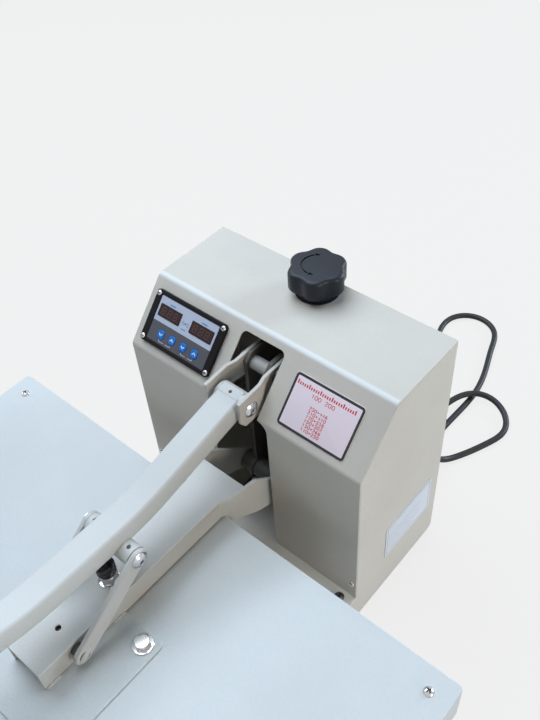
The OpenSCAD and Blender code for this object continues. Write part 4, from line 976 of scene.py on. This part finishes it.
def setWashers():
    # flat ring with rolled edges: the section's corners are cut at 45 degrees
    low, r, hole, t, e = (washers[k] for k in ("low", "r", "hole", "thick", "edge"))
    under = [(hole, e), (hole + e, 0), (r - e, 0), (r, e)]
    over = [(r, t - e), (r - e, t), (hole + e, t), (hole, t - e)]
    ring, shell = under + over + under[:1], Shell()
    for place in mountPlaces:
        shell.spin(ring, world([*place, low]), n=56)
    shell.make("mountWashers", "zinc", "bright_steel", "mount_washers")


bumper = {"y": -185.13, "low": 132.5, "collar": (11.0, 2.0), "nut": (17.0, 13.38), "nutTurn": 0.3,
          "flange": [(0.3, 0.0), (0.0, 0.4), (0.6, 1.5), (2.0, 2.0)],  # inset from the collar, height
          "stud": (5.0, 12.0), "r": 9.5, "tall": 15.3, "rings": 3, "groove": 1.3, "swell": 0.55,
          "crown": (0.8, 0.215)}  # where it starts, and over which share of the height it would close


def setBumper():
    # flanged nut: a low cone-edged collar with the hexagon on it
    p = bumper
    at = world([0, p["y"], p["low"]])
    r, thick = p["collar"]
    flange = [(0.0, 0.0)] + [(r - inset, z) for inset, z in p["flange"]] + [(0.0, thick)]
    nut = hexHead(p["nut"][0], p["nut"][1] - thick) + [0, 0, thick]
    shell = Shell().spin(flange, at, n=56)
    shell.grid(stand(nut, at, across=(math.cos(p["nutTurn"]), math.sin(p["nutTurn"]), 0)))
    shell.spin(shank(*p["stud"]), at, n=24)
    shell.make("bumperNut", "chrome", "bright_steel", "bumper_stud")
    # rubber: rings along its height, each a power of a half sine out of the groove's radius,
    # with a rounded crown
    s, (start, over) = np.linspace(0, 1, 60), p["crown"]
    wave = np.abs(np.sin(s * p["rings"] * math.pi)) ** p["swell"]
    crown = np.sqrt(np.clip(1 - (np.clip(s - start, 0, 1) / over) ** 2, 0, 1))
    radius = (p["r"] - p["groove"] * (1 - wave)) * crown
    rows = np.vstack([[0, 0], np.stack([radius, s * p["tall"]], -1), [0, p["tall"]]])
    rubber = Shell().spin(rows, world([0, p["y"], p["low"] + p["nut"][1]]), n=56)
    rubber.make("bumperRubber", "gloss", "black_rubber", "bumper_rubber", smooth=60)


setBolts()
setSmallScrews()
setPivotHeads()
setWashers()
setBumper()
print("bolts, screws, washers and bumper set")

# pressure knob

knob = {"y": 131.0, "low": 268.0, "r": 30.5, "h": 32.0, "hub": (22.5, 2.3), "skirt": 10.0, "round": 4.8,
        "lobes": 6, "valley": 3.9, "flat": 0.75, "fade": (9, 1.5), "crown": (0.5, 26), "sides": 320,
        "gap": 0.2, "side": [(2.2, 0), (0.6, 0.6), (0, 2), (0, 9)],  # inset, height over the skirt's foot
        "rings": [(24.9, 19.2, 8), (18.9, 13.2, 24), (12, 0, 9)],  # closer where the arc is engraved
        "arc": {"r": 15.6, "from": 2.42, "to": 4.72, "wide": 1.7, "deep": 1.3,
                "head": (1.6, 6.4, 2.2), "taper": 4.6}}


def makeKnob():
    # radius falls into a cosine valley between each two lobes, raised to a power that broadens the lobes;
    # the profile runs from the hub, under the skirt, up the side and over a rounded rim, and the valleys
    # fade towards the middle
    k, n, (crown, reach), (still, power) = knob, knob["sides"], knob["crown"], knob["fade"]
    a = np.linspace(0, 2 * math.pi, n, endpoint=False)
    dip = k["valley"] * (0.5 - 0.5 * np.cos(k["lobes"] * a)) ** (1 / k["flat"])
    low, high, e, (hub, foot) = k["skirt"], k["h"], k["round"], k["hub"]
    turn = np.linspace(0, math.pi / 2, 9)
    rim = [(e - e * math.sin(t), high - e + e * math.cos(t)) for t in turn[::-1]]
    side = [(k["r"], foot), (k["r"] - hub, foot), (k["r"] - hub, low - k["gap"])]
    side += [(inset, low + z) for inset, z in k["side"]]
    inner = np.concatenate([np.linspace(*ring) for ring in k["rings"]])
    rows = np.array(side + rim + [(k["r"] - r, high + crown * (1 - (r / reach) ** 2)) for r in inner])
    base = k["r"] - rows[:, :1]
    lobed = np.clip((base - still) / (k["r"] - still), 0, 1) ** power
    lobed[:3] = 0
    r = base - lobed * dip
    x, y, z = r * np.cos(a), r * np.sin(a), np.repeat(rows[:, 1:], n, 1)
    # engraved arc with a head at each end: the band round its radius, and two small triangles past its ends
    g, (near, far, half) = k["arc"], k["arc"]["head"]
    off = np.abs(r - g["r"])
    band = (off < g["wide"] / 2) & (a > g["from"]) & (a < g["to"])
    for end, way in ((g["from"], -1), (g["to"], 1)):
        along = (a - end) * way * g["r"]
        band |= (along > near) & (along < far) & (off < half * (far - along) / g["taper"])
    onTop = np.arange(len(rows)) > len(rows) - len(inner)
    z = z - g["deep"] * (band & onTop[:, None])
    shell = Shell().grid(stand(np.stack([x, y, z], -1), world([0, k["y"], k["low"]])), caps=False)
    shell.make("lobedKnob", "knob", "black_plastic", "pressure_knob", smooth=50)


makeKnob()
print("knob turned")

# controller and prints on the slope


def stroke(path, wide, low, high):
    # a flat line: at each point of the path, half the width to either side of it, from low to high
    path = np.asarray(path, float)
    t = np.gradient(path, axis=0)
    t /= np.linalg.norm(t, axis=1, keepdims=True) + 1e-12
    side = np.stack([-t[:, 1], t[:, 0]], -1) * wide / 2
    corners = [(path + side, low), (path - side, low), (path - side, high), (path + side, high)]
    return np.stack([np.column_stack([p, np.full(len(path), z)]) for p, z in corners], 1)


def frameRing(w, h, r, border, low, high):
    # rounded rectangle carried round a square section: outside up, across the top, inside down, back under
    return slab(w, h, r, [(0, low), (0.08, high), (border - 0.08, high), (border, low), (0, low)], 8)


def slopeGrid(shell, points, x, u, n=0.0, caps=True):
    return shell.grid(onSlope(points + np.array([x, u, n])), caps=caps)


numerals = {
    "0": [[(0.14, 0), (0.42, 0), (0.56, 0.18), (0.56, 0.82), (0.42, 1), (0.14, 1), (0, 0.82), (0, 0.18),
           (0.14, 0)]],
    "1": [[(0.08, 0.78), (0.32, 1), (0.32, 0)]],
    "2": [[(0, 0.8), (0.12, 1), (0.44, 1), (0.56, 0.82), (0.52, 0.6), (0, 0), (0.58, 0)]],
    "3": [[(0, 0.9), (0.16, 1), (0.42, 1), (0.54, 0.78), (0.24, 0.54), (0.56, 0.3), (0.44, 0.02), (0.14, 0),
           (0, 0.12)]],
    "4": [[(0.44, 0), (0.44, 1), (0, 0.3), (0.6, 0.3)]],
    "5": [[(0.54, 1), (0.06, 1), (0.02, 0.56), (0.38, 0.6), (0.56, 0.3), (0.42, 0.02), (0.12, 0), (0, 0.1)]],
    "6": [[(0.5, 0.98), (0.22, 0.86), (0.02, 0.4), (0.14, 0), (0.42, 0), (0.56, 0.28), (0.4, 0.54),
           (0.06, 0.42)]],
    "7": [[(0, 1), (0.56, 1), (0.36, 0.5), (0.2, 0)]],
    "8": [[(0.28, 0.54), (0.06, 0.76), (0.16, 1), (0.4, 1), (0.5, 0.76), (0.28, 0.54), (0, 0.26), (0.12, 0),
           (0.44, 0), (0.56, 0.26), (0.28, 0.54)]],
    "=": [[(0.08, 0.36), (0.5, 0.36)], [(0.08, 0.64), (0.5, 0.64)]],
    " ": [],
}
setting = {"step": 1.12, "wide": 1.35}  # from numeral to numeral, and a numeral's width, in heights


def numberLine(shell, words, x, u, tall, wide, low, high):
    # each numeral's strokes, scaled to the line's height and set a fixed step apart about the middle x
    step = setting["step"] * tall
    for i, sign in enumerate(words):
        for path in numerals[sign]:
            line = stroke(np.array(path) * [setting["wide"] * tall, tall], wide, low, high)
            slopeGrid(shell, line, x + (i - len(words) / 2) * step, u - tall / 2)


panel = {"x": -91.5, "face": 3.6}
windows = {"dx": 22.5, "u": 48.5, "w": 29.0, "h": 12.0, "r": 0.6, "sunk": 0.05, "high": 0.32, "edge": 0.2,
           "ring": {"over": 1.6, "r": 1.0, "border": 0.9, "high": 0.4}}
figures = {"count": 3, "tall": 7.6, "pitch": 8.4, "shift": -0.6, "on": 0.31, "thick": 0.04, "half": 0.27,
           "lean": 0.12, "gap": 0.14, "bar": 1.0, "dot": (1.1, 0.54), "dotAt": 3.9}


def sevenLines():
    # the seven bars of one unlit figure, as short lines on a leaning frame
    f = figures
    h, w = f["tall"] / 2, f["tall"] * f["half"]
    ends = [((-w, h), (w, h)), ((-w, 0), (w, 0)), ((-w, -h), (w, -h)),
            ((-w, 0), (-w, h)), ((w, 0), (w, h)), ((-w, -h), (-w, 0)), ((w, -h), (w, 0))]
    lean = np.array([[1.0, 0.0], [f["lean"], 1.0]])
    lines = [(np.array(e) * (1 - f["gap"]) + f["gap"] * np.mean(e, axis=0)) @ lean for e in ends]
    return [stroke(line, f["bar"], 0.0, f["thick"]) for line in lines]


def makeWindows():
    # a soft-edged lens in a thin frame, with three unlit figures and their dots just on it
    p, f, ring, face = windows, figures, windows["ring"], panel["face"]
    glass, edge, unlit = Shell(), Shell(), Shell()
    low = face - p["sunk"]
    lens = slab(p["w"], p["h"], p["r"], softProfile(low, face + p["high"], p["edge"]), 6)
    wide, tall = p["w"] + ring["over"], p["h"] + ring["over"]
    rim = frameRing(wide, tall, ring["r"], ring["border"], low, face + ring["high"])
    size, r = f["dot"]
    dot = slab(size, size, r, [(0, 0.0), (0, f["thick"])], 4)
    for x in (panel["x"] - p["dx"], panel["x"] + p["dx"]):
        slopeGrid(glass, lens, x, p["u"])
        slopeGrid(edge, rim, x, p["u"], caps=False)
        for i in range(f["count"]):
            at = x + (i - (f["count"] - 1) / 2) * f["pitch"] + f["shift"]
            for bar in sevenLines():
                slopeGrid(unlit, bar, at, p["u"], face + f["on"])
            slopeGrid(unlit, dot, at + f["dotAt"], p["u"] - f["tall"] / 2, face + f["on"])
    glass.make("displayGlass", "window", "display_red", "display_windows")
    edge.make("displayFrames", "bezel", "black_plastic")
    unlit.make("displayFigures", "segment", "display_red")


keys = {"count": 4, "pitch": 16.0, "u": 25.0, "w": 9.0, "r": 3.0, "low": 1.7, "high": 4.2, "edge": 0.9,
        "dish": (0.35, 3.4), "insets": (1.6, 2.4, 3.2, 3.9, 4.3), "line": 1.25, "sunk": 0.4, "proud": 0.03,
        "mark": [(-2.1, -1.0), (-1.05, 0.15), (0, 1.3), (1.05, 0.15), (2.1, -1.0)]}


def makeKeys():
    # cap: rounded square with a soft rim and a shallow dish, depth falling with the square of the distance
    k, high, (deep, reach) = keys, keys["high"], keys["dish"]
    dish = [(s, high - deep * (1 - ((k["w"] / 2 - s) / reach) ** 2)) for s in k["insets"]]
    square = slab(k["w"], k["w"], k["r"], softProfile(k["low"], high, k["edge"], 5) + dish, 8)
    for i in range(k["count"]):
        node, x = "key_%d" % (i + 1), panel["x"] + (i - (k["count"] - 1) / 2) * k["pitch"]
        cap = slopeGrid(Shell(), square, x, k["u"])
        cap.make("keyCap%d" % (i + 1), "key", "key_blue", node, smooth=50)
        way = 1 if i % 2 else -1
        mark = stroke(np.array(k["mark"]) * [1, way], k["line"], high - k["sunk"], high + k["proud"])
        chevron = slopeGrid(Shell(), mark, x, k["u"])
        chevron.make("keyMark%d" % (i + 1), "whiteInk", "key_blue", body=bodyOf(node))


overlay = {"sunk": 0.02, "proud": 0.05, "r": 0.3, "dot": (1.8, 0.88),
           "bars": [(-22.5, 57.6, 7.6, 1.5), (22.5, 57.6, 7.6, 1.5), (0, 41.2, 6.4, 1.1)],
           "arcs": {"u": 47.6, "r": (2.6, 4.0), "turn": 0.7, "line": 0.5},
           "bracket": {"u": 17.4, "line": 0.45,
                       "half": [(8.0, 1.6), (8.0, 0.8), (8.0, 0.0), (6.5, 0.0), (1.2, 0.0)]}}


def printOverlay():
    p, arcs, bracket = overlay, overlay["arcs"], overlay["bracket"]
    low, high = panel["face"] - p["sunk"], panel["face"] + p["proud"]
    blue, white, black = Shell(), Shell(), Shell()
    for x, u, w, h in p["bars"]:
        slopeGrid(blue, slab(w, h, p["r"], [(0, low), (0, high)], 4), panel["x"] + x, u)
    a = np.linspace(-arcs["turn"], arcs["turn"], 14)
    for side in (-1, 1):
        for r in arcs["r"]:
            arc = np.stack([side * r * np.cos(a), r * np.sin(a)], -1)
            slopeGrid(blue, stroke(arc, arcs["line"], low, high), panel["x"], arcs["u"])
        for half in (-1, 1):
            corner = stroke(np.array(bracket["half"]) * [half, 1], bracket["line"], low, high)
            slopeGrid(white, corner, panel["x"] + side * keys["pitch"], bracket["u"])
    size, r = p["dot"]
    slopeGrid(black, slab(size, size, r, [(0, low), (0, high)], 6), panel["x"], arcs["u"])
    blue.make("overlayBlue", "blueInk", "overlay_film")
    white.make("overlayWhite", "whiteInk", "overlay_film")
    black.make("overlayDot", "blackInk", "overlay_film")


makeWindows()
makeKeys()
printOverlay()
print("controller face made")

label = {"x": 86.5, "u": 36.0, "w": 79.0, "h": 55.0, "r": 4.0, "thick": 0.6, "edge": 0.18,
         "sunk": 0.02, "proud": 0.05, "ink": 0.66, "border": {"wide": 2.7, "in": 0.5, "r": 3.8, "sunk": 0.03},
         "rows": ["230=446", "210=410", "170=338", "150=302", "130=266", "110=230"],
         "rowTall": 2.75, "rowStep": 4.28, "top": 37.5,
         "second": {"words": "100 200", "u": 48.6, "tall": 3.5, "x": -2.0},
         "scale": {"x": -1.5, "u": 55.0, "ticks": 26, "step": 2.62, "tall": 4.2, "wide": 1.4,
                   "short": 0.66, "long": 5}}


def makeLabel():
    p, b, g, two = label, label["border"], label["scale"], label["second"]
    film = slab(p["w"], p["h"], p["r"], softProfile(0.0, p["thick"], p["edge"]), 10)
    slopeGrid(Shell(), film, p["x"], p["u"]).make("slopeLabel", "label", "label_film", "slope_label")
    high = p["thick"] + p["proud"]
    ring = frameRing(p["w"] - b["in"], p["h"] - b["in"], b["r"], b["wide"], p["thick"] - b["sunk"], high)
    slopeGrid(Shell(), ring, p["x"], p["u"], caps=False).make("labelBorder", "blackInk", "label_film")
    # a plain tick scale above, every fifth tick long, and rows of plain numbers below it
    low, ruled = p["thick"] - p["sunk"], Shell()
    for i in range(g["ticks"]):
        tall = g["tall"] * (g["short"] if i % g["long"] else 1.0)
        tick = [(0, -g["tall"] / 2), (0, 0), (0, tall - g["tall"] / 2)]
        x = p["x"] + g["x"] + (i - (g["ticks"] - 1) / 2) * g["step"]
        slopeGrid(ruled, stroke(tick, g["wide"], low, high), x, g["u"])
    middle = p["x"] + two["x"]
    numberLine(ruled, two["words"], middle, two["u"], two["tall"], p["ink"], low, high)
    for i, row in enumerate(p["rows"]):
        numberLine(ruled, row, middle, p["top"] - i * p["rowStep"], p["rowTall"], p["ink"], low, high)
    ruled.make("labelNumbers", "redInk", "label_film")


plate = {"at": (150.0, 95.0, 42.0), "w": 86.0, "h": 54.0, "r": 2.0, "thick": 0.6, "edge": 0.2,
         "sunk": 0.03, "proud": 0.04, "ring": {"in": 5, "r": 1.0, "wide": 1.2},
         "line": 0.8, "margin": 6, "lines": [(-17, 27.0), (-9, 15.0), (-1, 15.0), (7, 15.0)]}


def makePlate():
    # film on the right side, local x back and local y up, bare inside its ruled edge and four empty lines
    p, ring = plate, plate["ring"]
    place = world(p["at"]), (1, 0, 0), (0, 1, 0)
    film = slab(p["w"], p["h"], p["r"], softProfile(0.0, p["thick"], p["edge"]), 8)
    Shell().grid(stand(film, *place)).make("sidePlate", "plate", "label_film", "rating_plate")
    low, high, half = p["thick"] - p["sunk"], p["thick"] + p["proud"], p["w"] / 2 - p["margin"]
    edge = frameRing(p["w"] - ring["in"], p["h"] - ring["in"], ring["r"], ring["wide"], low, high)
    ruled = Shell().grid(stand(edge, *place), caps=False)
    for z, short in p["lines"]:
        line = [(-half, z), (0, z), (half - short, z)]
        ruled.grid(stand(stroke(line, p["line"], low, high), *place))
    ruled.make("sidePlateLines", "greyInk", "label_film")


makeLabel()
makePlate()
print("label and side plate printed")

# weld beads on the arm

beads = {
    "armWelds": {"on": "mounting_plate", "x": 22.9, "z": 107.4, "runs": [(-286.5, -270.0), (-208.0, -192.5)],
                 "r": 1.9, "ripple": 9},
    "bossWelds": {"on": "link_boss", "x": 16.2, "z": 186.0, "runs": [(-176.6, -159.4)],
                  "r": 1.6, "ripple": 7},
}
beadForm = {"power": 5, "least": 0.0004, "swell": 0.10}


def layBeads():
    # round bead on a straight line: radius dies to nothing at both ends and swells a tenth with each ripple
    s, form = np.linspace(0, 1, 64), beadForm
    ends = np.sqrt(np.clip(1 - np.abs(2 * s - 1) ** form["power"], form["least"], 1))
    for name, weld in beads.items():
        shell, swell = Shell(), 1 + form["swell"] * np.sin(2 * math.pi * weld["ripple"] * s)
        for start, end in weld["runs"]:
            for x in (weld["x"], -weld["x"]):
                line = world([x, start, weld["z"]]) + s[:, None] * [0, (end - start) / 1000, 0]
                shell.grid(tubeAlong(line, weld["r"] / 1000 * ends * swell, 12))
        shell.make(name, "arm", "arm_paint", body=bodyOf(weld["on"]))


def capPins():
    # pin ends welded over: an oval dome along the link, height falling with a power of the oval distance
    p = links["cap"]
    s, a = np.linspace(0, 1, 16)[:, None], np.linspace(0, 2 * math.pi, 48, endpoint=False)[None]
    z = p["h"] * (1 - s ** p["power"]) + 0 * a - p["sunk"]
    dome = np.stack([p["long"] * s * np.cos(a), p["wide"] * s * np.sin(a), z], -1)
    shell, along = Shell(), -linkRun / np.linalg.norm(linkRun)
    for side in (-1, 1):
        at = world([side * (links["in"] + links["thick"]), *links["foot"]])
        shell.grid(stand(dome, at, (side, 0, 0), along))
    shell.make("pinCaps", "arm", "arm_paint", body=bodyOf("link_pin"))


layBeads()
capPins()
print("welds laid")

# silicone pad

pad = {"node": "silicone_pad", "r": 8.0, "pinch": 1.1, "edge": 2.2, "points": 320, "crown": 0.25,
       "full": [(6, 0.1), (20, 0.3), (60, 0.6), (120, 0.9), (180, 1.0)]}  # inset, share of the crown


def makePad():
    # rounded rectangle whose sides pull in between the corners by pinch times the cosine of the way from
    # the middle, its edge a half round of the pad's thickness and its top a hair fuller in the middle
    lo, hi = (np.array(v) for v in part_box(pad["node"]))
    w, h, thick = (hi - lo) * 1000
    a = np.linspace(-math.pi / 2, math.pi / 2, 11)
    inward, share = np.array(pad["full"]).T
    inset = np.concatenate([pad["edge"] * (1 - np.cos(a)), inward])
    rise = np.concatenate([thick / 2 * np.sin(a), thick / 2 + pad["crown"] * share])
    loop = loopOf(w, h, pad["r"], 14)
    loop = np.concatenate([loop, loop[:1]])
    run = runAlong(loop)
    even = np.linspace(0, run[-1], pad["points"], endpoint=False)
    outline = np.stack([np.interp(even, run, loop[:, k]) for k in range(2)], -1)
    half = np.array([w, h]) / 2
    onSide = np.sign(outline) * (np.abs(outline) > half - pad["r"])
    outline = outline - pad["pinch"] * np.cos(np.pi * outline[:, ::-1] / [h, w]) * onSide
    drawn = outline[None] * (1 - inset[:, None, None] / half)
    rows = np.concatenate([drawn, np.repeat(rise[:, None, None], len(outline), 1)], -1)
    shell = Shell().grid((lo + hi) / 2 + rows / 1000)
    piece = shell.make("siliconePad", "silicone", "silicone", pad["node"], smooth=60)


makePad()
print("pad laid")

# hand grip, feet and gland

grip = {"y": -519.788, "z": 255.991, "rise": 14.0, "r": 19.0, "back": -111.0, "rings": 17, "deep": 0.9,
        "sharp": 0.5, "drawn": (2.0, 0.02), "nose": 0.995}


def makeGrip():
    # foam sleeve: rings along it as a rounded wave, drawn in at the back edge, closed by a round nose
    g, t, (draw, over) = grip, math.radians(grip["rise"]), grip["drawn"]
    s, a = np.linspace(0, 1, 240), np.linspace(0, math.pi / 2, 16)[1:]
    wave = 1 - np.abs(np.sin(math.pi * g["rings"] * s)) ** g["sharp"]
    radius = g["r"] - g["deep"] * wave - draw * np.clip(1 - s / over, 0, 1) ** 2
    nose = np.stack([g["r"] * np.cos(a) * g["nose"], g["r"] * np.sin(a)], -1)
    rows = np.vstack([[0, g["back"]], np.stack([radius, g["back"] * (1 - s)], -1), nose])
    shell = Shell().spin(rows, world([0, g["y"], g["z"]]), (0, -math.cos(t), math.sin(t)), n=56)
    shell.make("handGrip", "grip", "grip_rubber", "hand_grip", smooth=60)


feet = {"x": (-128.0, 128.0), "y": (-388.0, 121.0), "low": -56.0, "profile": [
    (0.0, 4.0), (6.0, 4.0), (6.8, 3.4), (6.8, 0.8), (7.4, 0.2), (13.0, 0.0),
    (14.0, 0.4), (14.5, 1.4), (15.2, 5.0), (14.7, 5.6), (14.7, 6.4), (15.5, 7.0),
    (16.6, 11.0), (16.2, 11.8), (15.6, 12.0), (0.0, 12.0)]}


def makeFeet():
    # tapered rubber foot with a rounded sole, a groove at half its height and a hollow under it
    shell = Shell()
    for x in feet["x"]:
        for y in feet["y"]:
            shell.spin(feet["profile"], world([x, y, feet["low"]]))
    shell.make("rubberFeet", "rubber", "black_rubber", "rubber_feet")


gland = {"at": (95.0, 153.0, 14.0), "nut": (20.0, 6.0), "collar": (9.0, 3.0), "nose": 24.0, "wall": 2,
         "ribs": 5, "rib": 0.55, "step": 0.6, "sunk": 0.5, "edge": 0.4,
         "thread": [(0, -10), (7.6, -10), (8, -9.6), (8, 0.2), (0, 0.2)]}


def makeGland():
    # hex nut, a collar and a tapered nose with ribs towards the lead
    g, core, (r, thick), tip = gland, lead["diameter"] / 2, gland["collar"], gland["nose"]
    at, out, top = world(g["at"]), (0, 1, 0), g["nut"][1]
    s = np.linspace(0, 1, 50)
    rib = g["rib"] * np.clip(np.sin(2 * math.pi * g["ribs"] * s), 0, 1)
    radius = r + (core + g["wall"] - r) * s - g["step"] + rib
    nose = np.stack([radius, top + thick + (tip - top - thick) * s], -1)
    low, e = top - g["sunk"], g["edge"]
    collar = [(0, low), (r, low), (r, top + thick - e), (r - e, top + thick)]
    shell = Shell().grid(stand(hexHead(*g["nut"]), at, out))
    shell.spin(np.vstack([collar, nose, [core - g["sunk"], tip], [0, tip]]), at, out, n=40)
    shell.spin(g["thread"], at, out, n=36)
    shell.make("cableGland", "rubber", "black_rubber", "cable_gland")


makeGrip()
makeFeet()
makeGland()
print("grip, feet and gland made")

# floor


def layFloor():
    half, z = studio["floor"], -studio["under"]
    sheet = bpy.data.meshes.new("floor")
    corners = [(-half, -half, z), (half, -half, z), (half, half, z), (-half, half, z)]
    sheet.from_pydata(corners, [], [(0, 1, 2, 3)])
    sheet.materials.append(floorPaper())
    added("floor", sheet)


layFloor()

# plain finishes for the CAD nodes that keep their own shape

worn = {
    "inner": ["cover_posts"],
    "zinc": ["frame_bolts", "knob_spindle"],
    "darkSteel": ["arm_shaft", "rocker_shaft"],
    "brass": ["trunnion_nut"],
    "knob": ["spindle_bush"],
    "overlay": ["controller_overlay"],
    "board": ["insulation_board"],
}


def paintNodes():
    for look, names in worn.items():
        for name in names:
            nodes[name].data.materials.clear()
            nodes[name].data.materials.append(finish[look])


paintNodes()
print("CAD nodes painted")
